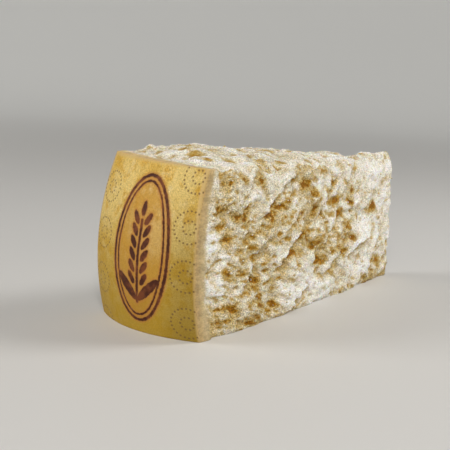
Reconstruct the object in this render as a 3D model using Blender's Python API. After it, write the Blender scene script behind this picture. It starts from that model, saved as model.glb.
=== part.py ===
"""A wedge of hard grating cheese, broken out of a barrel-shaped wheel.

The rind is the smooth, bulging short end. The two long sides, the top and the tip are broken
cheese, rough with crags, hollows and slanting cleavage steps. The underside is cut flat and
the wedge stands on it. Metres, +Z up, +X from the rind to the tip, and the origin is at the
middle of the footprint's bounding box.
"""

import math

import bmesh
import bpy
import numpy as np

# --- Driving dimensions, in metres ---------------------------------------------------------
HEIGHT = 0.090                  # nominal, at the rind
LENGTH = 0.220                  # from the chord of the rind to the tip
RIND_WIDTH = 0.075              # straight across the rind at the base
RIND_RISE = (0.0009, -0.0008)   # height of the far and the near top corner over HEIGHT
RIND_LEAN_FAR = (0.0033, -0.0029)   # how far the far edge of the rind leans, base to top
RIND_LEAN_NEAR = (0.0005, -0.0005)  # the same for the near edge
SAG_BASE = 0.0107               # depth of the rind's curve in plan, at the base
SAG_TOP = 0.0061                # and at the top
BARREL = 0.0078                 # bulge of the rind at half its height
TIP_HEIGHT = 0.0832
TIP_WIDTH = 0.008
TIP_NEAR_Y = -0.0054            # where the near side ends, at the base of the tip
TIP_LEAN = (-0.0012, 0.0012)    # how far the tip leans, base to top
BELLY_BASE = 0.0045             # how far each side bows out at the base
BELLY_TOP = 0.0026              # and at the top
BELLY_SKEW = 0.75               # under 1 brings the widest part of the bow nearer the rind
TOP_PROFILE = (                 # crest of the broken top: distance along, height over the edges
    (0.000, 0.0000), (0.010, 0.0015), (0.028, 0.0050), (0.050, 0.0070), (0.064, 0.0045),
    (0.090, 0.0050), (0.115, 0.0040), (0.140, 0.0020), (0.190, 0.0015), (0.210, 0.0030),
    (0.220, 0.0030),
)
CREST = 0.55                    # where the crest runs, from the near edge 0 to the far edge 1
FAR_DROP = 0.3                  # how much of the crest's height is lost at the far edge
TOP_CALM = 0.7                  # crags of the top over those of the sides
SMOOTH_CUT = (0.0022, 0.0132)   # distance from the rind where the crags begin, and are full

# --- Crags of the broken faces -------------------------------------------------------------
BROAD_CELL, BROAD_DEPTH = 0.030, 0.0013     # size and height of the widest swells
LUMP_CELL, LUMP_DEPTH = 0.0120, 0.0010
KNOB_CELL, KNOB_DEPTH = 0.0065, 0.0007
STEP_PITCH, STEP_DEPTH = 0.017, 0.0012      # the cleavage steps
STEP_SLANT = math.radians(40.0)             # how far a step leans from upright
STEP_WANDER = 0.005
CLEFTS = (                                  # scarps of the near side: foot and head of each
    ((0.040, 0.026), (0.058, 0.053)),
    ((0.073, 0.033), (0.096, 0.052)),
    ((0.127, 0.022), (0.157, 0.044)),
    ((0.083, 0.003), (0.105, 0.015)),
    ((0.158, 0.028), (0.187, 0.038)),
    ((0.057, 0.066), (0.082, 0.086)),
)
CLEFT_DEPTH = 0.0024                        # height of a scarp
CLEFT_REACH = 0.009                         # how far from it the face is level again
FAR_CLEFTS_END = 0.200                      # the far side has them in reverse from here
HOLLOWS_PER_AREA = 2300.0                   # for each square metre
HOLLOW_RADIUS = (0.0035, 0.0065)
HOLLOW_DEPTH = (0.0008, 0.0017)
EDGE_WEAR = 0.0013                          # how far the crumbled top edge is drawn in
WORN_BAND = 0.05                            # share of a side's height that is worn with it
GATE_CELL = 0.048                           # patches where the cleavage steps come and go
SEED_NEAR, SEED_FAR, SEED_TOP, SEED_TIP = 17, 23, 6, 53
NOISE_TABLE = 64

# --- Mesh ----------------------------------------------------------------------------------
CELL = 0.0039                   # edge of one facet cell
WELD = 1e-6

FLESH, RIND = 0, 1              # material slots
FLESH_COLOUR = (0.76, 0.64, 0.40)
RIND_COLOUR = (0.52, 0.34, 0.11)

CELLS_LONG = round(LENGTH / CELL)
CELLS_HIGH = round(HEIGHT / CELL)
CELLS_WIDE = round(0.7 * RIND_WIDTH / CELL)     # fewer than at the rind, as the wedge narrows


def lerp(a, b, t):
    """Blend from a to b, with t of 0 to 1."""
    return a * (1.0 - t) + b * t


def smoothstep(low, high, x):
    """0 below low, 1 above high and a smooth ramp between."""
    t = np.clip((x - low) / (high - low), 0.0, 1.0)
    return t * t * (3.0 - 2.0 * t)


def lumps(x, y, cell, seed):
    """Even random lumps about one cell across, from -1 to 1."""
    table = np.random.default_rng(seed).uniform(-1.0, 1.0, (NOISE_TABLE, NOISE_TABLE))
    column, row = np.floor(x / cell), np.floor(y / cell)
    tx, ty = smoothstep(0.0, 1.0, x / cell - column), smoothstep(0.0, 1.0, y / cell - row)
    i, j = column.astype(int) % NOISE_TABLE, row.astype(int) % NOISE_TABLE
    i_next, j_next = (i + 1) % NOISE_TABLE, (j + 1) % NOISE_TABLE
    low = lerp(table[i, j], table[i_next, j], tx)
    high = lerp(table[i, j_next], table[i_next, j_next], tx)
    return lerp(low, high, ty)


def cleavage(along, up, seed):
    """Slanting steps where the cheese split, as a saw-tooth that comes and goes."""
    slanted = along * math.cos(STEP_SLANT) - up * math.sin(STEP_SLANT)
    slanted = slanted + STEP_WANDER * lumps(along, up, BROAD_CELL, seed + 1)
    tooth = slanted / STEP_PITCH
    tooth = tooth - np.floor(tooth) - 0.5
    gate = smoothstep(-0.1, 0.6, lumps(along, up, GATE_CELL, seed + 2))
    return STEP_DEPTH * tooth * gate


def hollows(along, up, size, seed):
    """Round dents left by flakes that came away, scattered over a face of the given size."""
    draw = np.random.default_rng(seed + 3)
    depth = np.zeros_like(along)
    for _ in range(round(HOLLOWS_PER_AREA * size[0] * size[1])):
        centre = draw.uniform((0.0, 0.0), size)
        radius, deep = draw.uniform(*HOLLOW_RADIUS), draw.uniform(*HOLLOW_DEPTH)
        distance = np.hypot(along - centre[0], up - centre[1]) / radius
        depth = np.maximum(depth, deep * (1.0 - smoothstep(0.3, 1.0, distance)))
    return depth


def crags(along, up, size, seed):
    """Relief of a broken face, positive outwards, over its own two coordinates."""
    relief = BROAD_DEPTH * lumps(along, up, BROAD_CELL, seed)
    relief = relief + LUMP_DEPTH * lumps(along, up, LUMP_CELL, seed + 4)
    relief = relief + KNOB_DEPTH * lumps(along, up, KNOB_CELL, seed + 5)
    relief = relief + cleavage(along, up, seed)
    return relief - hollows(along, up, size, seed)


def clefts(along, up):
    """Long scarps: the face stands proud before each line and lies back behind it."""
    relief = np.zeros_like(along)
    for foot, head in CLEFTS:
        length = math.dist(foot, head)
        run = (head[0] - foot[0]) / length, (head[1] - foot[1]) / length
        x, y = along - foot[0], up - foot[1]
        travelled = (x * run[0] + y * run[1]) / length
        behind = x * run[1] - y * run[0]
        ends = smoothstep(-0.25, 0.10, travelled) * (1.0 - smoothstep(0.90, 1.25, travelled))
        step = -0.5 * np.sign(behind) * np.exp(-np.abs(behind) / CLEFT_REACH)
        relief = relief + CLEFT_DEPTH * step * ends
    return relief


def side_ends(side, v):
    """Plan points of one side at height v: its rind end, its tip end and its outward normal."""
    sign = 1.0 if side == "far" else -1.0
    lean = RIND_LEAN_FAR if side == "far" else RIND_LEAN_NEAR
    tip_y = TIP_NEAR_Y + (TIP_WIDTH if side == "far" else 0.0)
    tip = np.stack([LENGTH + TIP_LEAN[0] * v, tip_y + TIP_LEAN[1] * v], -1)
    rind = np.stack([lean[0] * v, sign * RIND_WIDTH / 2.0 + lean[1] * v], -1)
    run = (tip - rind) / np.linalg.norm(tip - rind, axis=-1, keepdims=True)
    bulge = BARREL * (1.0 - (2.0 * v - 1.0) ** 2)
    normal = np.stack([-sign * run[..., 1], sign * run[..., 0]], -1)
    return rind - bulge[..., None] * run, tip, normal


def broken(s):
    """0 on the rind and its smooth cut edge, 1 on the broken cheese."""
    return smoothstep(*SMOOTH_CUT, s * LENGTH)


def side_relief(side, s, v):
    """Crags of a long side, with its scarps and its crumbled top edge."""
    along, up = s * LENGTH, v * HEIGHT
    if side == "far":
        rough = crags(along, up, (LENGTH, HEIGHT), SEED_FAR) + clefts(FAR_CLEFTS_END - along, up)
    else:
        rough = crags(along, up, (LENGTH, HEIGHT), SEED_NEAR) + clefts(along, up)
    return rough - EDGE_WEAR * smoothstep(1.0 - WORN_BAND, 1.0, v)


def side_plan(side, s, v):
    """Plan points of a long side, s along it and v up it, both 0 to 1."""
    rind, tip, normal = side_ends(side, v)
    belly = lerp(BELLY_BASE, BELLY_TOP, v) * np.sin(math.pi * s ** BELLY_SKEW)
    out = side_relief(side, s, v) * broken(s) + belly
    return lerp(rind, tip, s[..., None]) + out[..., None] * normal


def top_height(u, s):
    """Height of the broken top, u across from far to near and s along."""
    far, near = lerp(HEIGHT + RIND_RISE[0], TIP_HEIGHT, s), lerp(HEIGHT + RIND_RISE[1], TIP_HEIGHT, s)
    distances, heights = zip(*TOP_PROFILE)
    crest = np.interp(s * LENGTH, distances, heights)
    crest = crest * np.sin(0.5 * math.pi * np.minimum((1.0 - u) / CREST, 1.0))
    crest = crest * (1.0 - FAR_DROP * smoothstep(CREST, 1.0, 1.0 - u))
    width = lerp(RIND_WIDTH, TIP_WIDTH, s)
    rough = TOP_CALM * crags(s * LENGTH, u * width, (LENGTH, RIND_WIDTH), SEED_TOP)
    worn = EDGE_WEAR * (1.0 - smoothstep(0.0, 1.5 * WORN_BAND, np.minimum(u, 1.0 - u)))
    return lerp(far, near, u) + crest + (rough - worn) * broken(s)


def tip_relief(u, v, s):
    """How far the broken tip stands out, level with the sides, the top and the base at its rim."""
    rough = crags(u * TIP_WIDTH, v * HEIGHT, (TIP_WIDTH, HEIGHT), SEED_TIP)
    rim = np.sin(math.pi * u) * np.sin(math.pi * v)
    return rough * rim * smoothstep(0.98, 1.0, s)


def wedge_points(u, v, s):
    """Points of the wedge's skin: u across from far to near, v up, s from the rind to the tip."""
    plan = lerp(side_plan("far", s, v), side_plan("near", s, v), u[..., None])
    curve = lerp(SAG_BASE, SAG_TOP, v) * (1.0 - (2.0 * u - 1.0) ** 2) * (1.0 - s)
    along = plan[..., 0] - curve + tip_relief(u, v, s)
    return np.stack([along, plan[..., 1], v * top_height(u, s)], -1)


def add_patch(mesh, fixed, value, material):
    """Add one of the six faces of the wedge, the one where the fixed coordinate has the value."""
    counts = {"u": CELLS_WIDE, "v": CELLS_HIGH, "s": CELLS_LONG}
    first, second = [name for name in counts if name != fixed]
    steps = np.meshgrid(
        np.linspace(0.0, 1.0, counts[first] + 1),
        np.linspace(0.0, 1.0, counts[second] + 1),
        indexing="ij",
    )
    grid = {first: steps[0], second: steps[1], fixed: np.full_like(steps[0], value)}
    points = wedge_points(**grid)
    corners = [[mesh.verts.new(point) for point in line] for line in points]
    for i in range(counts[first]):
        for j in range(counts[second]):
            loop = [corners[i][j], corners[i + 1][j], corners[i + 1][j + 1], corners[i][j + 1]]
            mesh.faces.new(loop).material_index = material


def flatten_base(mesh):
    """Make the flat underside a single face."""
    underside = [face for face in mesh.faces if all(vert.co.z < WELD for vert in face.verts)]
    bmesh.ops.dissolve_faces(mesh, faces=underside, use_verts=False)


def build_wedge():
    """Return the mesh of the wedge, with the middle of its footprint at the origin."""
    mesh = bmesh.new()
    for fixed in "uvs":
        for value in (0.0, 1.0):
            material = RIND if (fixed, value) == ("s", 0.0) else FLESH
            add_patch(mesh, fixed, value, material)
    bmesh.ops.remove_doubles(mesh, verts=mesh.verts[:], dist=WELD)
    bmesh.ops.recalc_face_normals(mesh, faces=mesh.faces[:])
    flatten_base(mesh)
    places = np.array([vert.co for vert in mesh.verts])
    middle = (places.min(axis=0) + places.max(axis=0)) / 2.0
    bmesh.ops.translate(mesh, verts=mesh.verts[:], vec=(-middle[0], -middle[1], 0.0))
    return mesh


def make_material(name, colour, roughness):
    """A plain Principled material."""
    material = bpy.data.materials.new(name)
    material.use_nodes = True
    shader = material.node_tree.nodes["Principled BSDF"]
    shader.inputs["Base Color"].default_value = (*colour, 1.0)
    shader.inputs["Roughness"].default_value = roughness
    shader.inputs["Metallic"].default_value = 0.0
    return material


def main():
    """Clear the scene and build the wedge as one object."""
    for old in list(bpy.data.objects):
        bpy.data.objects.remove(old, do_unlink=True)
    data = bpy.data.meshes.new("cheese_wedge")
    wedge = build_wedge()
    wedge.to_mesh(data)
    wedge.free()
    data.materials.append(make_material("flesh", FLESH_COLOUR, 0.70))
    data.materials.append(make_material("rind", RIND_COLOUR, 0.55))
    bpy.context.scene.collection.objects.link(bpy.data.objects.new("cheese_wedge", data))


if __name__ == "__main__":
    main()
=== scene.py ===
"""Looks of a wedge of hard aged cheese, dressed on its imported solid.

The wedge is one closed mesh that stands for the solid: a smooth bulging rind with a burnt
ornament and pricked dots, and broken sides, top and tip with pits, crags and cleavage steps.
Loose grains cling to the broken faces. Metres, +Z up, +X from the rind to the tip.
"""

import itertools
import logging
import math
from dataclasses import dataclass, field
from enum import Enum, IntEnum

import bpy
import numpy as np
from mathutils import Matrix, Vector


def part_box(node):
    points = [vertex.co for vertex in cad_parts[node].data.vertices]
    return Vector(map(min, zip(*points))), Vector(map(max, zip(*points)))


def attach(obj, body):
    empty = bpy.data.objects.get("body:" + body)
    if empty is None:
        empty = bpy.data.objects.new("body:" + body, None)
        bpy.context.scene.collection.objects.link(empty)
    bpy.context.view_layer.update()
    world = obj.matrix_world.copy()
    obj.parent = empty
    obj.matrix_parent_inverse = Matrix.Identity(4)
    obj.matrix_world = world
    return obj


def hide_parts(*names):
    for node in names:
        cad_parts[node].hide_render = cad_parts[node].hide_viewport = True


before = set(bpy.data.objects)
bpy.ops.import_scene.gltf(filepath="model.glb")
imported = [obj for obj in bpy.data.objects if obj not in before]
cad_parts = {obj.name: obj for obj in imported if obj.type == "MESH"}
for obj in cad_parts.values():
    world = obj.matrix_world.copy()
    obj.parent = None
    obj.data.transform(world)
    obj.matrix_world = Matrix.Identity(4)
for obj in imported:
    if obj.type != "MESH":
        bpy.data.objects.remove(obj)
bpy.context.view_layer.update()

Array = np.ndarray
Socket = bpy.types.NodeSocket
Place = tuple[float, float]
Triple = tuple[float, float, float]
Colour = Triple
Shares = tuple[tuple[str, float], ...]
Inputs = dict[str | int, object]
Groups = dict[str, bpy.types.NodeTree]

NODE = "cheese_wedge"
BODY = "root"
LOG = logging.getLogger("wedge")
MILLIMETRES = 1000.0

# The angle of turned lumps, in radians: for seed 0, and what each seed adds.
FIRST_TURN = 0.5
NEXT_TURN = 1.1

# Soft spots: their ragged edge, its cell as a share of their own and its depth, then the ranges
# of their places in a cell, of their sizes and of their strengths.
SPOT_RAG = (0.3, 0.35)
SPOT_PLACES = (0.1, 0.9)
SPOT_SIZES = (0.60, 0.95)
SPOT_STRENGTHS = (0.50, 1.05)


# --- Arithmetic over arrays ------------------------------------------------------------------
def lerp(a: Array | float, b: Array | float, t: Array | float) -> Array | float:
    """Blend from a to b, with t of 0 to 1."""
    return a * (1.0 - t) + b * t


def smoothstep(low: float, high: float, x: Array | float) -> Array | float:
    """0 below low, 1 above high and a smooth ramp between."""
    t = np.clip((x - low) / (high - low), 0.0, 1.0)
    return t * t * (3.0 - 2.0 * t)


def lumps(x: Array, y: Array, cell: float, seed: int, table_side: int = 64) -> Array:
    """Even random lumps over a plane.

    Args:
        x: First coordinate of each point, in metres.
        y: Second coordinate.
        cell: Size of a lump.
        seed: Which lumps.
        table_side: How many lumps before the pattern repeats.

    Returns:
        A height from -1 to 1 at each point.
    """
    table = np.random.default_rng(seed).uniform(-1.0, 1.0, (table_side, table_side))
    column, row = np.floor(x / cell), np.floor(y / cell)
    tx, ty = smoothstep(0.0, 1.0, x / cell - column), smoothstep(0.0, 1.0, y / cell - row)
    i, j = column.astype(int) % table_side, row.astype(int) % table_side
    i_next, j_next = (i + 1) % table_side, (j + 1) % table_side
    low = lerp(table[i, j], table[i_next, j], tx)
    high = lerp(table[i, j_next], table[i_next, j_next], tx)
    return lerp(low, high, ty)


def turned_lumps(x: Array, y: Array, cell: float, seed: int) -> Array:
    """Lumps on axes turned by an angle of their own, so that layers of them don't line up.

    Args:
        x: First coordinate of each point, in metres.
        y: Second coordinate.
        cell: Size of a lump.
        seed: Which lumps, and how far they are turned.

    Returns:
        A height from -1 to 1 at each point.
    """
    turn = FIRST_TURN + NEXT_TURN * seed
    across = x * math.cos(turn) - y * math.sin(turn)
    upward = x * math.sin(turn) + y * math.cos(turn)
    return lumps(across, upward, cell, seed)


def spots(x: Array, y: Array, cell: float, seed: int, table_side: int = 64) -> Array:
    """Soft round spots over a plane, one to a cell, each of its own place, size and strength.

    Args:
        x: First coordinate of each point, in metres.
        y: Second coordinate.
        cell: Distance between spots.
        seed: Which spots.
        table_side: How many spots before the pattern repeats.

    Returns:
        0 between the spots, up to 1 in the middle of the strongest.
    """
    table = np.random.default_rng(seed).uniform(0.0, 1.0, (table_side, table_side, 4))
    column, row = np.floor(x / cell).astype(int), np.floor(y / cell).astype(int)
    rag_cell, rag = SPOT_RAG
    ragged = 1.0 + rag * turned_lumps(x, y, rag_cell * cell, seed + 1)
    found = np.zeros_like(x)
    for i in range(-1, 2):
        for j in range(-1, 2):
            drawn = table[(column + i) % table_side, (row + j) % table_side]
            across = x / cell - (column + i + lerp(*SPOT_PLACES, drawn[..., 0]))
            upward = y / cell - (row + j + lerp(*SPOT_PLACES, drawn[..., 1]))
            distance = ragged * np.hypot(across, upward) / lerp(*SPOT_SIZES, drawn[..., 2])
            strength = lerp(*SPOT_STRENGTHS, drawn[..., 3])
            found = np.maximum(found, strength * np.maximum(1.0 - distance, 0.0))
    return found


def softened(grid: Array, reach: int, axis: int) -> Array:
    """Running mean of a grid along one axis.

    Args:
        grid: Values in rows and columns.
        reach: How many cells either way count.
        axis: Along which axis, 0 or 1.

    Returns:
        A grid of the same shape.
    """
    pad = [(reach + 1, reach) if n == axis else (0, 0) for n in range(2)]
    total = np.cumsum(np.pad(grid, pad, mode="edge"), axis=axis)
    count = grid.shape[axis]
    ahead = np.take(total, range(2 * reach + 1, 2 * reach + 1 + count), axis=axis)
    return (ahead - np.take(total, range(count), axis=axis)) / (2 * reach + 1)


# --- Form of the wedge -----------------------------------------------------------------------
class Face(Enum):
    """The six faces of the wedge, each with the coordinate that is fixed on it and its value."""

    NEAR = ("u", 1.0)
    FAR = ("u", 0.0)
    TOP = ("v", 1.0)
    TIP = ("s", 1.0)
    RIND = ("s", 0.0)
    BASE = ("v", 0.0)


class Draw(IntEnum):
    """The random patterns of a broken face, each with what it adds to the face's own seed."""

    BROAD = 0
    STEP_WANDER = 1
    STEP_PATCHES = 2
    HOLLOWS = 3
    LUMPS = 4
    KNOBS = 5
    DEEP_PITS = 6
    WARP_ALONG = 7
    WARP_UP = 8
    FINE_WARP_ALONG = 9
    FINE_WARP_UP = 10
    PALE_PATCHES = 12
    PALE_SPECKS = 13
    RAGS_ALONG = 14
    RAGS_UP = 17
    NODULES = 20
    CRUMBS = 25
    CHIPS = 30
    SPOTS = 40
    SPOT_PATCHES = 44
    PIT_RAGS = 46


@dataclass(frozen=True)
class Scarp:
    """One long cleavage step of a side, from its foot to its head, each along and up.

    It comes and goes over shares of its length, near its foot and near its head.
    """

    foot: Place
    head: Place
    strength: float = 1.0
    fade_in: Place = (-0.25, 0.10)
    fade_out: Place = (0.90, 1.25)

    def measure(self, along: Array, up: Array) -> tuple[Array, Array]:
        """Find how points lie to the step.

        Args:
            along: First coordinate of each point.
            up: Second coordinate.

        Returns:
            Distance of each point behind the line, and the step's strength, which fades past
            its ends.
        """
        (x0, y0), (x1, y1) = self.foot, self.head
        length = math.dist(self.foot, self.head)
        run = (x1 - x0) / length, (y1 - y0) / length
        x, y = along - x0, up - y0
        travelled = (x * run[0] + y * run[1]) / length
        ends = smoothstep(*self.fade_in, travelled) * (1.0 - smoothstep(*self.fade_out, travelled))
        return x * run[1] - y * run[0], self.strength * ends


@dataclass(frozen=True)
class Bruise:
    """A crushed patch that is whiter than the rest: its middle, along and up, and its size."""

    middle: Place
    radius: float


NEAR_SCARPS = (
    Scarp((0.040, 0.026), (0.058, 0.053)),
    Scarp((0.073, 0.033), (0.096, 0.052)),
    Scarp((0.127, 0.022), (0.157, 0.044)),
    Scarp((0.083, 0.003), (0.105, 0.015)),
    Scarp((0.158, 0.028), (0.187, 0.038)),
    Scarp((0.057, 0.066), (0.082, 0.086), 0.55),
)
DEEP_PITS = (
    (0.016, 0.070), (0.020, 0.084), (0.024, 0.053), (0.024, 0.034), (0.028, 0.013), (0.031, 0.086),
    (0.038, 0.065), (0.050, 0.084), (0.052, 0.026), (0.064, 0.065), (0.068, 0.010), (0.075, 0.068),
    (0.086, 0.038), (0.096, 0.061), (0.098, 0.079), (0.100, 0.048), (0.108, 0.075), (0.112, 0.065),
    (0.115, 0.041), (0.120, 0.028), (0.134, 0.079), (0.140, 0.066), (0.145, 0.056), (0.147, 0.030),
    (0.160, 0.064), (0.163, 0.038), (0.194, 0.057),
)
BRUISES = (
    Bruise((0.008, 0.054), 0.009),
    Bruise((0.012, 0.027), 0.011),
    Bruise((0.046, 0.076), 0.004),
    Bruise((0.080, 0.012), 0.010),
    Bruise((0.108, 0.018), 0.015),
    Bruise((0.121, 0.006), 0.014),
    Bruise((0.173, 0.021), 0.014),
    Bruise((0.180, 0.041), 0.011),
    Bruise((0.190, 0.083), 0.013),
)


@dataclass
class Survey:
    """What a broken face is like at each of its points.

    Attributes:
        height: How far the surface stands out, in metres.
        golden: 0 on the open surface, 1 in the middle of a golden pit, and painted shadow behind scarps.
        white: How crushed and white the cheese is, 0 to 1, with painted light towards the tip, painted shade
            towards the foot and a painted highlight on scarp crests.
        proud: 0 in a recess, 0.5 on the level, 1 on a crest.
    """

    height: Array
    golden: Array
    white: Array
    proud: Array

    @classmethod
    def bare(cls, height: Array) -> "Survey":
        """A survey of the height alone, its masks all 0."""
        return cls(height, *(np.zeros_like(height) for _ in range(3)))


@dataclass(frozen=True)
class BrokenFace:
    """Relief of one broken face over two coordinates of its own, along and up, in metres.

    The broad relief is the solid's own; the pits and the grain are finer than its facets. A
    pair is a cell with its height, shift or strength, or the two ends of a range.
    """

    seed: int
    size: Place
    scarps: tuple[Scarp, ...] = ()
    deep_pits: tuple[Place, ...] = ()
    bruises: tuple[Bruise, ...] = ()
    backwards_from: float | None = None

    # Broad relief, the solid's too.
    broad: Place = (0.030, 0.0013)
    lump: Place = (0.0120, 0.0010)
    knob: Place = (0.0065, 0.0007)
    step_pitch: float = 0.017
    step_depth: float = 0.0012
    step_slant: float = math.radians(40.0)
    step_wander: float = 0.005
    step_patch: float = 0.048
    step_gate: Place = (-0.1, 0.6)
    rags: tuple[Place, ...] = ((0.0052, 0.0017), (0.0023, 0.0008))
    scarp_depth: float = 0.0044
    scarp_reach: float = 0.009
    hollows_per_area: float = 2300.0
    hollow_radius: Place = (0.0035, 0.0065)
    hollow_depth: Place = (0.0008, 0.0017)
    hollow_slope: Place = (0.3, 1.0)

    # The grain's own coordinates: how it is drawn out, grows towards the tip and is pushed about.
    grain_stretch: float = 2.0
    growth: float = 0.20
    growth_up: float = 0.8
    slant: Place = (0.24, 0.04)
    warp: Place = (0.0024, 0.00045)
    warp_up: float = 0.8
    fine_warp: Place = (0.45, 0.5)

    # Pits and grain.
    spot_sizes: tuple[Place, ...] = ((0.0053, 0.96), (0.0034, 0.90))
    spot_patches: Place = (0.021, 0.15)
    spot_depth: float = 0.0008
    spot_lean: float = 0.6
    spot_brim: float = 0.21
    deep_radius: Place = (0.0018, 0.0026)
    deep_oblong: Place = (0.8, 1.3)
    deep_core: float = 1.25
    pit_rag: Place = (0.0016, 0.35)
    edge_fade: float = 0.25
    edge_band: Place = (0.78, 0.97)
    nodules: tuple[Place, ...] = (
        (0.0078, 0.00115), (0.0046, 0.00085), (0.0027, 0.00052), (0.0016, 0.00034),
    )
    crumb: Place = (0.00090, 0.00040)

    # Whiteness, in wide and fine patches, at the pits' stains and at bruises; painted light that whitens it
    # towards the tip and painted shade that tans it towards the foot; and beside scarps, a painted
    # highlight before each and painted shadow, golden, behind it.
    paleness: float = 0.59
    patch_cells: Place = (0.019, 0.006)
    patchiness: Place = (0.15, 0.18)
    tip_patchy: float = 0.9
    tip_painted_light: float = 0.24
    tip_start: float = 0.45
    foot_painted_shade: float = 0.22
    foot_reach: float = 0.75
    oblong: float = 1.4
    stain_radius: float = 0.0048
    stain: float = 0.55
    bruise: float = 1.1
    lee_reach: float = 0.0075
    lee_painted_shadow: float = 0.70
    crest_reach: float = 0.0035
    crest_painted_highlight: float = 0.26

    # What a point is proud of: its surroundings along and up, and the height that counts in full.
    proud_scales: tuple[Triple, ...] = ((0.005, 0.003, 0.0008), (0.018, 0.011, 0.0019))

    def turned(self, along: Array | float) -> Array | float:
        """Positions along the face, counted backwards where its scarps stand in reverse."""
        return along if self.backwards_from is None else self.backwards_from - along

    def cleavage(self, along: Array, up: Array) -> Array:
        """Slanting steps where the cheese split, as a saw-tooth that comes and goes.

        Args:
            along: First coordinate of each point.
            up: Second coordinate.

        Returns:
            The height at each point.
        """
        slanted = along * math.cos(self.step_slant) - up * math.sin(self.step_slant)
        wander = lumps(along, up, self.broad[0], self.seed + Draw.STEP_WANDER)
        tooth = (slanted + self.step_wander * wander) / self.step_pitch
        tooth = tooth - np.floor(tooth) - 0.5
        patches = lumps(along, up, self.step_patch, self.seed + Draw.STEP_PATCHES)
        return self.step_depth * tooth * smoothstep(*self.step_gate, patches)

    def ragged(self, along: Array, up: Array) -> tuple[Array, Array]:
        """Push coordinates about a little, so that the edges of steps come out ragged.

        Args:
            along: First coordinate of each point.
            up: Second coordinate.

        Returns:
            The pushed coordinates.
        """
        for layer, (cell, shift) in enumerate(self.rags):
            along = along + shift * turned_lumps(along, up, cell, self.seed + Draw.RAGS_ALONG + layer)
            up = up + shift * turned_lumps(along, up, cell, self.seed + Draw.RAGS_UP + layer)
        return along, up

    def hollows(self, along: Array, up: Array) -> Array:
        """Wide dents left by flakes that came away.

        Args:
            along: First coordinate of each point.
            up: Second coordinate.

        Returns:
            The depth at each point.
        """
        draw = np.random.default_rng(self.seed + Draw.HOLLOWS)
        depth = np.zeros_like(along)
        for _ in range(round(self.hollows_per_area * self.size[0] * self.size[1])):
            centre = draw.uniform((0.0, 0.0), self.size)
            radius, deep = draw.uniform(*self.hollow_radius), draw.uniform(*self.hollow_depth)
            distance = np.hypot(along - centre[0], up - centre[1]) / radius
            depth = np.maximum(depth, deep * (1.0 - smoothstep(*self.hollow_slope, distance)))
        return depth

    def stepped(self, along: Array, up: Array) -> Array:
        """Long scarps: the face stands proud before each line and lies back behind it.

        Args:
            along: First coordinate of each point.
            up: Second coordinate.

        Returns:
            The height at each point.
        """
        along = self.turned(along)
        relief = np.zeros_like(along)
        for scarp in self.scarps:
            behind, ends = scarp.measure(along, up)
            step = -0.5 * np.sign(behind) * np.exp(-np.abs(behind) / self.scarp_reach)
            relief = relief + self.scarp_depth * step * ends
        return relief

    def broad_relief(self, along: Array, up: Array) -> Array:
        """The relief that the solid has too.

        Args:
            along: First coordinate of each point.
            up: Second coordinate.

        Returns:
            The height at each point.
        """
        relief = self.broad[1] * lumps(along, up, self.broad[0], self.seed + Draw.BROAD)
        relief = relief + self.lump[1] * lumps(along, up, self.lump[0], self.seed + Draw.LUMPS)
        relief = relief + self.knob[1] * lumps(along, up, self.knob[0], self.seed + Draw.KNOBS)
        relief = relief - self.hollows(along, up)
        return relief + self.cleavage(*self.ragged(along, up)) + self.stepped(along, up)

    def drawn_out(self, along: Array | float, up: Array | float) -> tuple[Array | float, Array | float]:
        """Find coordinates in which the grain is even.

        On the face itself the grain is longer than it is tall, slants, and is larger towards
        the tip.

        Args:
            along: First coordinate of each point.
            up: Second coordinate.

        Returns:
            The same points in the grain's coordinates.
        """
        share = along / self.size[0]
        level = up + lerp(*self.slant, up / self.size[1]) * along
        x = along / (self.grain_stretch * (1.0 + self.growth * share))
        return x, level * (1.0 - self.growth_up * self.growth * share)

    def warped(self, along: Array, up: Array) -> tuple[Array, Array]:
        """Find coordinates for the grain, drawn out along the face and pushed about.

        Args:
            along: First coordinate of each point.
            up: Second coordinate.

        Returns:
            The same points in the grain's coordinates.
        """
        cell, shift = self.warp
        fine_cell, fine_shift = self.fine_warp[0] * cell, self.fine_warp[1] * shift
        along, up = self.drawn_out(along, up)
        x = along + shift * turned_lumps(along, up, cell, self.seed + Draw.WARP_ALONG)
        x = x + fine_shift * turned_lumps(along, up, fine_cell, self.seed + Draw.FINE_WARP_ALONG)
        y = up + self.warp_up * shift * turned_lumps(along, up, cell, self.seed + Draw.WARP_UP)
        fine = turned_lumps(along, up, fine_cell, self.seed + Draw.FINE_WARP_UP)
        return x, y + self.warp_up * fine_shift * fine

    def spotted(self, x: Array, y: Array, white: Array) -> Array:
        """How golden and sunk the face is, in soft spots that are fewer where it is white.

        Args:
            x: First coordinate of each point, in the grain's coordinates.
            y: Second coordinate.
            white: How white the face is at each point.

        Returns:
            0 between the spots, up to 1 in their middles.
        """
        found = np.zeros_like(x)
        for layer, (cell, strength) in enumerate(self.spot_sizes):
            found = np.maximum(found, strength * spots(x, y, cell, self.seed + Draw.SPOTS + layer))
        patch_cell, patch_share = self.spot_patches
        strength = 1.0 + patch_share * lumps(x, y, patch_cell, self.seed + Draw.SPOT_PATCHES)
        found = found * (strength - self.spot_lean * (white - 0.5))
        return np.clip((found - self.spot_brim) / (1.0 - self.spot_brim), 0.0, 1.0)

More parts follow.
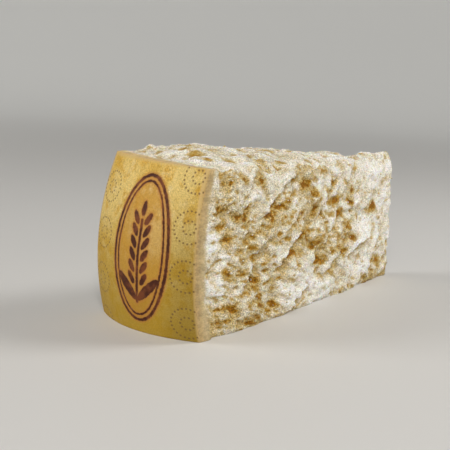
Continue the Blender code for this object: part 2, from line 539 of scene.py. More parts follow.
    def deep(self, x: Array, y: Array) -> Array:
        """The deepest golden hollows, each at a place of its own.

        Args:
            x: First coordinate of each point, in the grain's coordinates.
            y: Second coordinate.

        Returns:
            0 between the hollows, 1 in their middles.
        """
        draw = np.random.default_rng(self.seed + Draw.DEEP_PITS)
        rag_cell, rag = self.pit_rag
        ragged = 1.0 + rag * turned_lumps(x, y, rag_cell, self.seed + Draw.PIT_RAGS)
        found = np.zeros_like(x)
        for along, up in self.deep_pits:
            tall = draw.uniform(*self.deep_radius)
            wide = tall * draw.uniform(*self.deep_oblong)
            middle = self.drawn_out(self.turned(along), up)
            distance = np.hypot((x - middle[0]) / wide, (y - middle[1]) / tall)
            found = np.maximum(found, np.clip(self.deep_core - distance * ragged, 0.0, 1.0))
        return found

    def beside_scarps(self, along: Array, up: Array, reach: float, side: float) -> Array:
        """How close each point lies to a scarp, on one side of it.

        Args:
            along: First coordinate of each point.
            up: Second coordinate.
            reach: Distance over which the closeness fades.
            side: 1 for behind the scarp, -1 for before it.

        Returns:
            1 at a scarp, and less away from it.
        """
        along = self.turned(along)
        found = np.zeros_like(along)
        for scarp in self.scarps:
            behind, ends = scarp.measure(along, up)
            close = np.where(side * behind > 0.0, np.exp(-np.abs(behind) / reach), 0.0)
            found = np.maximum(found, close * ends)
        return found

    def grain(self, x: Array, y: Array) -> Array:
        """Knobbly nodules of every size, and crumbs over them.

        Args:
            x: First coordinate of each point, in the grain's coordinates.
            y: Second coordinate.

        Returns:
            The height at each point.
        """
        relief = self.crumb[1] * turned_lumps(x, y, self.crumb[0], self.seed + Draw.CRUMBS)
        for layer, (cell, size) in enumerate(self.nodules):
            relief = relief + size * turned_lumps(x, y, cell, self.seed + Draw.NODULES + layer)
        return relief

    def proud(self, height: Array, along: Array, up: Array) -> Array:
        """How far each point stands over its surroundings.

        Args:
            height: The height of each point, in rows and columns.
            along: First coordinate of each point.
            up: Second coordinate.

        Returns:
            0 where a point is sunk, 0.5 where it is level, 1 where it is proud.
        """
        steps = [np.abs(np.diff(grid, axis=axis)).max() for axis, grid in ((0, up), (1, along))]
        if min(steps) <= 0.0:
            return np.full_like(height, 0.5)
        total = np.full_like(height, 0.5)
        for far, high, full in self.proud_scales:
            reach = [max(1, round(0.5 * r / step)) for r, step in zip((high, far), steps)]
            soft = softened(softened(height, reach[0], 0), reach[1], 1)
            total = total + 0.5 * (height - soft) / full
        return np.clip(total, 0.0, 1.0)

    def patch(self, along: Array, up: Array, middle: Place, radius: float) -> Array:
        """A soft oblong patch, 1 in its middle."""
        distance = np.hypot((along - middle[0]) / self.oblong, up - middle[1]) / radius
        return np.exp(-2.0 * distance**2)

    def whiteness(self, along: Array, up: Array) -> Array:
        """How crushed and white the face is, in soft patches and at its named spots, with painted
        light towards the tip and painted shade towards the foot.

        Args:
            along: First coordinate of each point.
            up: Second coordinate.

        Returns:
            0 where it is tan, 1 where it is white.
        """
        along = self.turned(along)
        cell, fine_cell = self.patch_cells
        patches = self.patchiness[0] * lumps(along, up, cell, self.seed + Draw.PALE_PATCHES)
        specks = turned_lumps(along, up, fine_cell, self.seed + Draw.PALE_SPECKS)
        patches = patches + self.patchiness[1] * specks
        white = self.paleness + patches * (1.0 + self.tip_patchy * along / self.size[0])
        # Painted light: whiter towards the tip. Painted shade: more tan towards the foot.
        tip_start, foot_end = self.tip_start * self.size[0], self.foot_reach * self.size[1]
        white = white + self.tip_painted_light * smoothstep(tip_start, self.size[0], along)
        white = white - self.foot_painted_shade * (1.0 - smoothstep(0.0, foot_end, up))
        for middle in self.deep_pits:
            white = white - self.stain * self.patch(along, up, middle, self.stain_radius)
        for bruise in self.bruises:
            white = white + self.bruise * self.patch(along, up, bruise.middle, bruise.radius)
        return np.clip(white, 0.0, 1.0)

    def survey(self, along: Array, up: Array, fine: bool) -> Survey:
        """Look over the face at the given points.

        Args:
            along: First coordinate of each point.
            up: Second coordinate.
            fine: Whether to add the pits and grain that the solid leaves out, and the masks.

        Returns:
            The relief and the masks at each point.
        """
        height = self.broad_relief(along, up)
        if not fine:
            return Survey.bare(height)
        x, y = self.warped(along, up)
        white = self.whiteness(along, up)
        fade = 1.0 - self.edge_fade * smoothstep(*self.edge_band, up / self.size[1])
        golden = np.maximum(fade * self.spotted(x, y, white), self.deep(x, y))
        height = height - self.spot_depth * golden + self.grain(x, y)
        # Painted shadow: golden in the lee behind each scarp. Painted highlight: whiter on the crest before
        # it.
        lee = self.beside_scarps(along, up, self.lee_reach, 1.0)
        crest = self.beside_scarps(along, up, self.crest_reach, -1.0)
        golden = np.maximum(golden, self.lee_painted_shadow * lee)
        white = np.clip(white + self.crest_painted_highlight * crest, 0.0, 1.0)
        return Survey(height, golden, white, self.proud(height, along, up))


@dataclass(frozen=True)
class Side:
    """One long side: the leans of its ends in plan, its rise at the rind, and its break."""

    sign: float
    lean: Place
    rise: float
    tip_y: float
    broken: BrokenFace


@dataclass(frozen=True)
class WedgeForm:
    """Shape of the wedge, the same as its solid's, with finer relief over it."""

    height: float = 0.090
    length: float = 0.220
    rind_width: float = 0.075
    sag_base: float = 0.0107
    sag_top: float = 0.0061
    barrel: float = 0.0078
    tip_height: float = 0.0832
    tip_width: float = 0.008
    tip_near_y: float = -0.0054
    tip_lean: Place = (-0.0012, 0.0012)
    tip_start: float = 0.98
    belly: Place = (0.0045, 0.0026)
    belly_skew: float = 0.75
    top_profile: tuple[Place, ...] = (
        (0.000, 0.0000), (0.010, 0.0015), (0.028, 0.0050), (0.050, 0.0070), (0.064, 0.0045),
        (0.090, 0.0050), (0.115, 0.0040), (0.140, 0.0020), (0.190, 0.0015), (0.210, 0.0030),
        (0.220, 0.0030),
    )
    crest: float = 0.55
    far_drop: float = 0.3

    # The rind, its ripples and its smooth cut edge; pits begin a little past its thickness.
    rind_thickness: float = 0.0070
    smooth_cut: Place = (0.0022, 0.0132)
    pits_begin: Place = (0.85, 1.8)
    rind_ripple: Place = (0.009, 0.00022)
    ripple_seed: int = 71
    ripple_rim: float = 0.3
    ripple_end: float = 0.01

    # Worn edges: how deep, how wide a band, and the chips' and the foot's shares of that band.
    edge_wear: float = 0.0013
    worn_band: float = 0.05
    top_band: float = 1.5
    chip: float = 0.0011
    chip_least: float = 0.6
    chip_band: float = 0.8
    side_chip_cell: float = 0.0052
    top_chip_cell: float = 0.0047
    foot_wear: float = 0.0009
    foot_band: float = 0.6

    # The breaks of the far side and the top.
    far_scarps_end: float = 0.200
    top_calm: float = 0.7
    top_grain: float = 0.95
    top_stretch: float = 1.1
    top_paleness: float = 0.70
    # Painted light on the top: whiter towards the tip.
    top_tip_painted_light: float = 0.12
    top_patchiness: Place = (0.16, 0.12)
    top_spots: tuple[Place, ...] = ((0.0095, 1.0), (0.0042, 0.40))

    @property
    def near(self) -> Side:
        """The side towards -Y.

        Returns:
            The side.
        """
        size = (self.length, self.height)
        face = BrokenFace(seed=17, size=size, scarps=NEAR_SCARPS, deep_pits=DEEP_PITS, bruises=BRUISES)
        return Side(sign=-1.0, lean=(0.0005, -0.0005), rise=-0.0008, tip_y=self.tip_near_y, broken=face)

    @property
    def far(self) -> Side:
        """The side towards +Y, with the near side's scarps in reverse.

        Returns:
            The side.
        """
        face = BrokenFace(
            seed=23,
            size=(self.length, self.height),
            scarps=NEAR_SCARPS,
            deep_pits=DEEP_PITS,
            bruises=BRUISES,
            backwards_from=self.far_scarps_end,
        )
        tip_y = self.tip_near_y + self.tip_width
        return Side(sign=1.0, lean=(0.0033, -0.0029), rise=0.0009, tip_y=tip_y, broken=face)

    @property
    def top(self) -> BrokenFace:
        """The break of the top, calmer than the sides.

        Returns:
            The broken face.
        """
        return BrokenFace(
            seed=6,
            size=(self.length, self.rind_width),
            grain_stretch=self.top_stretch,
            slant=(0.0, 0.0),
            spot_sizes=self.top_spots,
            edge_fade=0.0,
            paleness=self.top_paleness,
            patchiness=self.top_patchiness,
            tip_painted_light=self.top_tip_painted_light,
            foot_painted_shade=0.0,
        )

    @property
    def tip(self) -> BrokenFace:
        """The break of the narrow end."""
        return BrokenFace(seed=53, size=(self.tip_width, self.height))

    def from_rind(self, s: Array) -> Array:
        """Distance from the rind's outer skin."""
        return s * self.length

    def cragged(self, s: Array) -> Array:
        """0 on the rind and its smooth cut edge, 1 on the broken cheese."""
        return smoothstep(*self.smooth_cut, self.from_rind(s))

    def pitted(self, s: Array) -> Array:
        """0 on the cut edge of the rind, 1 just past it, where pits and grain begin."""
        first, last = (share * self.rind_thickness for share in self.pits_begin)
        return smoothstep(first, last, self.from_rind(s))

    def chips(self, along: Array, cell: float, face: BrokenFace) -> Array:
        """Depth of the chips along an edge of a face."""
        chance = lumps(along, 0.0 * along, cell, face.seed + Draw.CHIPS)
        return self.chip * (self.chip_least + chance)

    def side_survey(self, side: Side, s: Array, v: Array, fine: bool) -> Survey:
        """Look over a long side.

        Args:
            side: Which side.
            s: From the rind to the tip, 0 to 1.
            v: From the base to the top, 0 to 1.
            fine: Whether to add what the solid leaves out, and the masks.

        Returns:
            How far the side stands out of its plane, and its masks.
        """
        along, up = s * self.length, v * self.height
        broad = side.broken.survey(along, up, False).height
        worn = self.edge_wear * smoothstep(1.0 - self.worn_band, 1.0, v)
        out = (broad - worn) * self.cragged(s)
        out = out + lerp(*self.belly, v) * np.sin(math.pi * s**self.belly_skew)
        if not fine:
            return Survey.bare(out)
        close = side.broken.survey(along, up, True)
        pitted = self.pitted(s)
        chips = self.chips(along, self.side_chip_cell, side.broken)
        out = out + (close.height - broad) * pitted
        out = out - chips * smoothstep(1.0 - self.chip_band * self.worn_band, 1.0, v) * pitted
        foot = 1.0 - smoothstep(0.0, self.foot_band * self.worn_band, v)
        out = out - self.foot_wear * foot * pitted
        return Survey(out, close.golden * pitted, close.white, close.proud)

    def side_plan(self, side: Side, s: Array, v: Array, out: Array) -> Array:
        """Find where a long side runs in plan.

        Args:
            side: Which side.
            s: From the rind to the tip, 0 to 1.
            v: From the base to the top, 0 to 1.
            out: How far each point stands out of the side's plane.

        Returns:
            The x and y of each point, on the last axis.
        """
        tip = np.stack([self.length + self.tip_lean[0] * v, side.tip_y + self.tip_lean[1] * v], -1)
        rind_y = side.sign * self.rind_width / 2.0 + side.lean[1] * v
        rind = np.stack([side.lean[0] * v, rind_y], -1)
        run = (tip - rind) / np.linalg.norm(tip - rind, axis=-1, keepdims=True)
        bulge = self.barrel * (1.0 - (2.0 * v - 1.0) ** 2)
        normal = np.stack([-side.sign * run[..., 1], side.sign * run[..., 0]], -1)
        start = rind - bulge[..., None] * run
        return lerp(start, tip, s[..., None]) + out[..., None] * normal

    def top_survey(self, u: Array, s: Array, fine: bool) -> Survey:
        """Look over the top.

        Args:
            u: Across, from the far side to the near side, 0 to 1.
            s: From the rind to the tip, 0 to 1.
            fine: Whether to add what the solid leaves out, and the masks.

        Returns:
            The height over the base, and the masks.
        """
        straight = lerp(
            lerp(self.height + self.far.rise, self.tip_height, s),
            lerp(self.height + self.near.rise, self.tip_height, s),
            u,
        )
        distances, heights = zip(*self.top_profile)
        crest = np.interp(s * self.length, distances, heights)
        crest = crest * np.sin(0.5 * math.pi * np.minimum((1.0 - u) / self.crest, 1.0))
        crest = crest * (1.0 - self.far_drop * smoothstep(self.crest, 1.0, 1.0 - u))
        along, across = s * self.length, u * lerp(self.rind_width, self.tip_width, s)
        broad = self.top_calm * self.top.survey(along, across, False).height
        inward = np.minimum(u, 1.0 - u)
        worn = self.edge_wear * (1.0 - smoothstep(0.0, self.top_band * self.worn_band, inward))
        height = straight + crest + (broad - worn) * self.cragged(s)
        if not fine:
            return Survey.bare(height)
        close = self.top.survey(along, across, True)
        pitted = self.pitted(s)
        height = height + self.top_grain * (close.height - broad / self.top_calm) * pitted
        chips = self.chips(along, self.top_chip_cell, self.top)
        height = height - chips * (1.0 - smoothstep(0.0, self.worn_band, inward)) * pitted
        return Survey(height, close.golden * pitted, close.white, close.proud)

    def tip_survey(self, u: Array, v: Array, s: Array, fine: bool) -> Survey:
        """Look over the narrow end, which is level with its neighbours at its rim.

        Args:
            u: Across, from the far side to the near side, 0 to 1.
            v: From the base to the top, 0 to 1.
            s: From the rind to the tip, 0 to 1.
            fine: Whether to add what the solid leaves out, and the masks.

        Returns:
            How far the end stands out, and its masks.
        """
        survey = self.tip.survey(u * self.tip_width, v * self.height, fine)
        rim = np.sin(math.pi * u) * np.sin(math.pi * v) * smoothstep(self.tip_start, 1.0, s)
        return Survey(survey.height * rim, survey.golden, survey.white, survey.proud)

    def points(self, u: Array, v: Array, s: Array, fine: bool) -> Array:
        """Find points of the wedge's skin.

        Args:
            u: Across, from the far side to the near side, 0 to 1.
            v: From the base to the top, 0 to 1.
            s: From the rind to the tip, 0 to 1.
            fine: Whether to add what the solid leaves out.

        Returns:
            The x, y and z of each point, on the last axis.
        """
        far = self.side_plan(self.far, s, v, self.side_survey(self.far, s, v, fine).height)
        near = self.side_plan(self.near, s, v, self.side_survey(self.near, s, v, fine).height)
        plan = lerp(far, near, u[..., None])
        curve = lerp(self.sag_base, self.sag_top, v) * (1.0 - (2.0 * u - 1.0) ** 2) * (1.0 - s)
        x = plan[..., 0] - curve + self.tip_survey(u, v, s, fine).height
        if fine:
            cell, depth = self.rind_ripple
            rim = np.sin(math.pi * u) ** self.ripple_rim * np.sin(math.pi * v) ** self.ripple_rim
            ripple = lumps(u * self.rind_width, v * self.height, cell, self.ripple_seed)
            x = x + depth * ripple * rim * (1.0 - smoothstep(0.0, self.ripple_end, s))
        z = v * self.top_survey(u, s, fine).height
        return np.stack([x, plan[..., 1], z], -1)


# --- Node trees ------------------------------------------------------------------------------
@dataclass(frozen=True)
class Span:
    """A smooth ramp: the two ends of the value that comes in, and what it gives at each."""

    low: float
    high: float
    start: float = 0.0
    end: float = 1.0


@dataclass(frozen=True)
class Noise:
    """Soft random patches: about how large, with how much finer detail and how strong."""

    cell: float
    detail: float = 2.0
    rough: float = 0.5


class Graph:
    """Adds nodes to one tree, each with its inputs set or linked."""

    def __init__(self, tree: bpy.types.NodeTree) -> None:
        """Work on the given tree."""
        self.tree = tree

    def add(self, kind: str, inputs: Inputs | None = None, **settings: object) -> bpy.types.Node:
        """Add one node.

        Args:
            kind: The node's type name, without the leading ShaderNode.
            inputs: A value or a socket for each input, by name or number.
            settings: Properties of the node.

        Returns:
            The new node.
        """
        node = self.tree.nodes.new("ShaderNode" + kind)
        for name, value in settings.items():
            setattr(node, name, value)
        for name, value in (inputs or {}).items():
            self.feed(node.inputs[name], value)
        return node

    def feed(self, socket: Socket, value: object) -> None:
        """Link a socket to an input, or set the input's own value.

        Args:
            socket: The input.
            value: An output socket, a number, a vector or a colour.
        """
        if isinstance(value, bpy.types.NodeSocket):
            self.tree.links.new(value, socket)
        elif socket.type == "RGBA" and len(value) == 3:
            socket.default_value = (*value, 1.0)
        else:
            socket.default_value = value

    def maths(self, operation: str, *values: object, clamp: bool = False) -> Socket:
        """One Math node."""
        node = self.add("Math", dict(enumerate(values)), operation=operation, use_clamp=clamp)
        return node.outputs[0]

    def least(self, values: list[Socket]) -> Socket:
        """Find the least of several values.

        Args:
            values: The values, one at least.

        Returns:
            The least at each place.
        """
        least = values[0]
        for value in values[1:]:
            least = self.maths("MINIMUM", least, value)
        return least

    def vector(self, operation: str, *values: object) -> bpy.types.Node:
        """One Vector Math node."""
        return self.add("VectorMath", dict(enumerate(values)), operation=operation)

    def ramp(self, value: object, span: Span) -> Socket:
        """A smooth ramp of a value over a span.

        Args:
            value: The value that comes in.
            span: The ramp's ends.

        Returns:
            The span's start up to its low end, and its end from its high end on.
        """
        inputs = {
            "Value": value,
            "From Min": span.low,
            "From Max": span.high,
            "To Min": span.start,
            "To Max": span.end,
        }
        return self.add("MapRange", inputs, interpolation_type="SMOOTHSTEP").outputs["Result"]

    def mix(self, share: object, first: object, second: object) -> Socket:
        """Blend two colours.

        Args:
            share: 0 for the first colour, 1 for the second.
            first: The first colour.
            second: The second colour.

        Returns:
            The blended colour.
        """
        node = self.add("Mix", data_type="RGBA")
        for name, value in (("Factor", share), ("A", first), ("B", second)):
            sockets = [x for x in node.inputs if x.name == name and x.enabled]
            self.feed(sockets[0], value)
        return next(x for x in node.outputs if x.enabled)

    def cover(self, under: object, value: object, span: Span, over: object) -> Socket:
        """Lay one colour over another, by a ramp of a value."""
        return self.mix(self.ramp(value, span), under, over)

    def shade(self, colour: Socket, value: object) -> Socket:
        """Make a colour lighter or darker."""
        return self.add("HueSaturation", {"Color": colour, "Value": value}).outputs["Color"]

    def tint(self, colour: Socket, value: object, span: Span) -> Socket:
        """Make a colour lighter or darker, by a ramp of a value."""
        return self.shade(colour, self.ramp(value, span))

    def sway(self, middle: float, sources: dict[str, Socket], shares: Shares) -> Socket:
        """Push a value up or down by how far others lie from a half.

        Args:
            middle: The value where all the others are a half.
            sources: The others by name.
            shares: The names of those that count, each with its share.

        Returns:
            The pushed value.
        """
        total = middle - 0.5 * sum(share for _, share in shares)
        for name, share in shares:
            total = self.maths("MULTIPLY_ADD", sources[name], share, total)
        return total

    def noise(self, place: Socket, noise: Noise) -> Socket:
        """Noise over a place, in the place's own units."""
        inputs = {"Scale": 1.0 / noise.cell, "Detail": noise.detail, "Roughness": noise.rough}
        return self.add("TexNoise", {"Vector": place, **inputs}).outputs["Fac"]

    def attribute(self, name: str) -> bpy.types.Node:
        """A mesh attribute."""
        return self.add("Attribute", attribute_name=name, attribute_type="GEOMETRY")

    def group(self, tree: bpy.types.NodeTree, inputs: dict[str, object]) -> bpy.types.Node:
        """Place a node group.

        Args:
            tree: The group.
            inputs: A value or a socket for each of its inputs, by name.

        Returns:
            The group's node.
        """
        node = self.tree.nodes.new("ShaderNodeGroup")
        node.node_tree = tree
        for name, value in inputs.items():
            self.feed(node.inputs[name], value)
        return node


class GroupMaker:
    """Makes a node group with named inputs and outputs."""

    def __init__(self, name: str, inputs: dict[str, str], outputs: dict[str, str]) -> None:
        """Start a group.

        Args:
            name: The group's name.
            inputs: The kind of each input, such as Float, by the input's name.
            outputs: The same for the outputs.
        """
        self.tree = bpy.data.node_groups.new(name, "ShaderNodeTree")
        for side, sockets in (("INPUT", inputs), ("OUTPUT", outputs)):
            for label, kind in sockets.items():
                self.tree.interface.new_socket(label, in_out=side, socket_type="NodeSocket" + kind)
        self.graph = Graph(self.tree)
        self.source = self.tree.nodes.new("NodeGroupInput").outputs
        self.sink = self.tree.nodes.new("NodeGroupOutput").inputs

    def finish(self, **results: Socket) -> bpy.types.NodeTree:
        """Link the results to the outputs.

        Args:
            results: A socket for each output, by the output's name.

        Returns:
            The finished group.
        """
        for name, socket in results.items():
            self.tree.links.new(socket, self.sink[name])
        return self.tree


# Layers of the grain, each in grain sizes, and the round cells that dent its height: how many
# to a grain size, and how deep.
GRAIN_LAYERS = {
    "Speckle": Noise(1.0, 4.0, 0.7),
    "Grit": Noise(0.55, 2.0, 0.6),
    "Fleck": Noise(1.9, 1.0, 0.5),
    "Clump": Noise(3.7, 2.0, 0.5),
}
GRAIN_CELLS = 0.75
CELL_DEPTH = 0.6

# Keeps the distance from an oval finite in its middle.
LEAST_SLOPE = 0.001

# Radius that leaves the third coordinate out of an oval.
NO_LIMIT = 1.0e6


def grain_group() -> bpy.types.NodeTree:
    """Make the fine grain of cheese, with features of about the size that it is given.

    Returns:
        The group. It puts out a speckle, a finer grit, coarser flecks, clumps that are coarser
        still, and a height for the bump.
    """
    inputs = {"Place": "Vector", "Size": "Float"}
    maker = GroupMaker("Grain", inputs, dict.fromkeys((*GRAIN_LAYERS, "Height"), "Float"))
    graph = maker.graph
    size = graph.add("CombineXYZ", dict.fromkeys(range(3), maker.source["Size"]))
    scaled = graph.vector("DIVIDE", maker.source["Place"], size.outputs[0]).outputs[0]
    layers = {name: graph.noise(scaled, noise) for name, noise in GRAIN_LAYERS.items()}
    cells = graph.add("TexVoronoi", {"Vector": scaled, "Scale": GRAIN_CELLS}, feature="SMOOTH_F1")
    dents = graph.maths("MULTIPLY", cells.outputs["Distance"], CELL_DEPTH)
    return maker.finish(Height=graph.maths("SUBTRACT", layers["Speckle"], dents), **layers)


def ring_group() -> bpy.types.NodeTree:
    """Make the distance from an oval line.

    Returns:
        The group. It puts out the distance, and the same with inside the oval as less than 0.
    """
    maker = GroupMaker(
        "Oval line",
        {"Place": "Vector", "Centre": "Vector", "Turn": "Float", "Radii": "Vector"},
        {"Distance": "Float", "Signed": "Float"},
    )
    graph, radii = maker.graph, maker.source["Radii"]
    moved = graph.vector("SUBTRACT", maker.source["Place"], maker.source["Centre"]).outputs[0]
    turned = {"Vector": moved, "Angle": maker.source["Turn"]}
    rotated = graph.add("VectorRotate", turned, rotation_type="Z_AXIS").outputs[0]
    scaled = graph.vector("DIVIDE", rotated, radii).outputs[0]
    reach = graph.vector("LENGTH", scaled).outputs["Value"]
    twice = graph.vector("DIVIDE", scaled, radii).outputs[0]
    slope = graph.maths("MAXIMUM", graph.vector("LENGTH", twice).outputs["Value"], LEAST_SLOPE)
    over = graph.maths("MULTIPLY", reach, graph.maths("SUBTRACT", reach, 1.0))
    signed = graph.maths("DIVIDE", over, slope)
    return maker.finish(Distance=graph.maths("ABSOLUTE", signed), Signed=signed)


def bar_group() -> bpy.types.NodeTree:
    """Make the distance from a straight line between two ends.

    Returns:
        The group, which puts out the distance.
    """
    inputs = {"Place": "Vector", "From": "Vector", "To": "Vector"}
    maker = GroupMaker("Straight line", inputs, {"Distance": "Float"})
    graph, start = maker.graph, maker.source["From"]
    run = graph.vector("SUBTRACT", maker.source["To"], start).outputs[0]
    here = graph.vector("SUBTRACT", maker.source["Place"], start).outputs[0]
    dot = graph.vector("DOT_PRODUCT", here, run).outputs["Value"]
    length = graph.vector("DOT_PRODUCT", run, run).outputs["Value"]
    share = graph.maths("DIVIDE", dot, length, clamp=True)
    foot = graph.add("VectorMath", {0: run, "Scale": share}, operation="SCALE").outputs[0]
    gap = graph.vector("SUBTRACT", here, foot).outputs[0]
    return maker.finish(Distance=graph.vector("LENGTH", gap).outputs["Value"])


def dotted_group() -> bpy.types.NodeTree:
    """Make the distance from the nearest of many dots pricked round a circle.

    Returns:
        The group, which puts out the distance.
    """
    maker = GroupMaker(
        "Dotted circle",
        {"Place": "Vector", "Centre": "Vector", "Radius": "Float", "Dots": "Float"},
        {"Distance": "Float"},
    )
    graph, radius, dots = maker.graph, maker.source["Radius"], maker.source["Dots"]
    moved = graph.vector("SUBTRACT", maker.source["Place"], maker.source["Centre"]).outputs[0]
    parts = graph.add("SeparateXYZ", {0: moved}).outputs
    turn = graph.maths("DIVIDE", graph.maths("ARCTAN2", parts[1], parts[0]), 2.0 * math.pi)
    counted = graph.maths("MULTIPLY", turn, dots)
    off = graph.maths("SUBTRACT", counted, graph.maths("ROUND", counted))
    pitch = graph.maths("DIVIDE", graph.maths("MULTIPLY", radius, 2.0 * math.pi), dots)
    sideways = graph.maths("MULTIPLY", off, pitch)
    outward = graph.maths("SUBTRACT", graph.vector("LENGTH", moved).outputs["Value"], radius)
    both = graph.add("CombineXYZ", {0: sideways, 1: outward})
    return maker.finish(Distance=graph.vector("LENGTH", both.outputs[0]).outputs["Value"])


# --- Finishes --------------------------------------------------------------------------------
@dataclass(frozen=True)
class FleshFinish:
    """Colours of the broken cheese and the rind's cut edge, linear, and their surface.

    Depths from the rind's skin are in metres, and heights up the cut edge in millimetres.
    """

    chalk: Colour = (0.97, 0.96, 0.92)
    white: Colour = (0.87, 0.82, 0.70)
    cream: Colour = (0.67, 0.58, 0.40)
    tan: Colour = (0.56, 0.415, 0.170)
    gold: Colour = (0.39, 0.200, 0.008)
    amber: Colour = (0.27, 0.105, 0.002)
    cut_inner: Colour = (0.57, 0.45, 0.250)
    cut_rind: Colour = (0.49, 0.350, 0.165)
    cut_skin: Colour = (0.55, 0.37, 0.150)
    grain: float = 0.0010
    stretch: Triple = (0.60, 1.0, 1.0)

    # What makes the open surface pale, with crests painted paler as highlight and recesses darker as shade,
    # and where each paler colour covers the one before.
    tone: float = 0.5
    tone_shares: Shares = (("clump", 0.9), ("fleck", 0.6), ("proud", 0.35), ("white", 1.0), ("speckle", 0.1))
    to_cream: Span = Span(0.05, 0.50)
    to_white: Span = Span(0.35, 0.85)
    to_chalk: Span = Span(0.80, 1.20)

    # Golden flecks, weaker where it is white and stronger in recesses as painted shade, and where each
    # deeper colour covers the one before.
    fleck_shares: Shares = (("clump", 0.6), ("fleck", 0.9), ("speckle", 0.4), ("proud", -0.20))
    fleck_calm: Place = (-1.1, 1.65)
    to_tan: Span = Span(0.08, 0.55)
    to_gold: Span = Span(0.36, 0.92)
    to_amber: Span = Span(0.72, 1.10, 0.0, 0.9)

    # Light and dark grit, weaker where it is white.
    grit: Span = Span(0.32, 0.68, -0.54, 0.45)
    grit_calm: Place = (-0.55, 1.15)

    # The rind's cut edge: how far the grain pushes its inner end, how much narrower it is towards
    # the top, where it ends in rind thicknesses, its colours' depths and shades, and painted light on its
    # head by the top.
    band_rags: Shares = (("clump", 0.0016), ("speckle", 0.006))
    band_up: Span = Span(30.0, 85.0, 0.88, 1.35)
    band_end: Place = (0.80, 1.35)
    skin_depth: float = 0.0013
    inner_start: float = 0.0012
    band_clumps: Span = Span(0.3, 0.7, 0.88, 1.10)
    band_speckle: Span = Span(0.3, 0.7, 0.80, 1.18)
    band_head_painted_light: Span = Span(86.0, 91.0, 1.0, 1.3)

    # Smoother where it is golden, less relief on the cut edge, and the light that it scatters.
    roughness: Span = Span(0.2, 0.9, 0.62, 0.46)
    relief: Span = Span(0.0, 1.0, 1.0, 0.5)
    bump: float = 0.0005
    bump_strength: float = 1.0
    specular: float = 0.14
    scatter: float = 0.35
    scatter_radius: Triple = (1.0, 0.6, 0.25)
    scatter_scale: float = 0.002


@dataclass(frozen=True)
class RindFinish:
    """Colours of the rind, linear, and its surface.

    Places across and up the rind and distances from its marks are in millimetres.
    """

    body: Colour = (0.53, 0.330, 0.052)
    pale: Colour = (0.62, 0.455, 0.150)
    cream: Colour = (0.64, 0.50, 0.220)
    warm: Colour = (0.50, 0.27, 0.020)
    dark: Colour = (0.30, 0.17, 0.012)
    worn: Colour = (0.60, 0.42, 0.180)
    deep: Colour = (0.44, 0.265, 0.008)
    burnt: Colour = (0.060, 0.014, 0.005)
    singed: Colour = (0.16, 0.045, 0.014)
    scorched: Colour = (0.44, 0.18, 0.035)
    pricked: Colour = (0.15, 0.085, 0.03)

    # Patches of every size, and how much each colour covers.
    grain: float = 0.00075
    wide: Noise = Noise(0.026, 2.0, 0.5)
    mottle: Noise = Noise(0.0085, 3.0, 0.6)
    freckles: Noise = Noise(0.0056, 3.0, 0.6)
    patches: Noise = Noise(0.0021, 4.0, 0.65)
    to_pale: Span = Span(0.38, 0.60)
    to_warm: Span = Span(0.48, 0.66, 0.0, 0.75)
    to_cream: Span = Span(0.50, 0.72, 0.0, 0.80)
    to_dark: Span = Span(0.50, 0.76, 0.0, 0.6)
    speckle: Span = Span(0.3, 0.7, 0.76, 1.22)
    grit: Span = Span(0.32, 0.68, 0.88, 1.11)

    # How it deepens towards its foot; painted shade that darkens it downwards and across; and a strip
    # of painted shade near the near edge, strongest low down.
    to_deep: Span = Span(0.0, 75.0, 0.80, 0.0)
    up_painted_shade: Span = Span(0.0, 95.0, 0.88, 1.13)
    across_painted_shade: Span = Span(-40.0, 38.0, 1.02, 0.97)
    edge_shade_up: Span = Span(40.0, 85.0, 0.24, 0.05)
    edge_shade_across: Span = Span(14.0, 34.0)

    # Worn edges at both sides and at the head, lighter partly from wear and partly as a painted highlight
    # along the edge.
    wear_and_highlight_lean: Span = Span(45.0, 80.0, 0.0, 1.6)
    wear_and_highlight_sides: Span = Span(36.2, 37.6)
    wear_and_highlight_head: Span = Span(88.2, 90.3)
    wear_and_highlight_share: float = 0.75

    # Marks: stains round the pricks and the burnt lines, and their grooves.
    prick_stain: Span = Span(0.25, 0.80, 0.85, 0.0)
    prick_groove: Span = Span(0.2, 0.8, -0.8, 0.0)
    burn_rags: Shares = (("patches", 1.3), ("speckle", 0.7))
    oval_scorch: Span = Span(-1.5, 0.8, 0.36, 0.0)
    line_scorch: Span = Span(0.0, 1.5, 0.75, 0.0)
    to_singed: Span = Span(0.42, 0.62)
    to_char: Span = Span(-0.35, 0.30, 1.0, 0.0)
    burn_groove: Span = Span(-0.6, 0.3, -1.6, 0.0)

    # Rougher in the grain's clumps.
    roughness: Span = Span(0.3, 0.7, 0.45, 0.62)
    bump: float = 0.00012
    bump_strength: float = 0.9
    specular: float = 0.20


@dataclass(frozen=True)
class Oval:
    """An upright oval: its middle, half its width and its height, and how far it is turned."""

    centre: Place
    radii: Place
    turn: float = 0.0


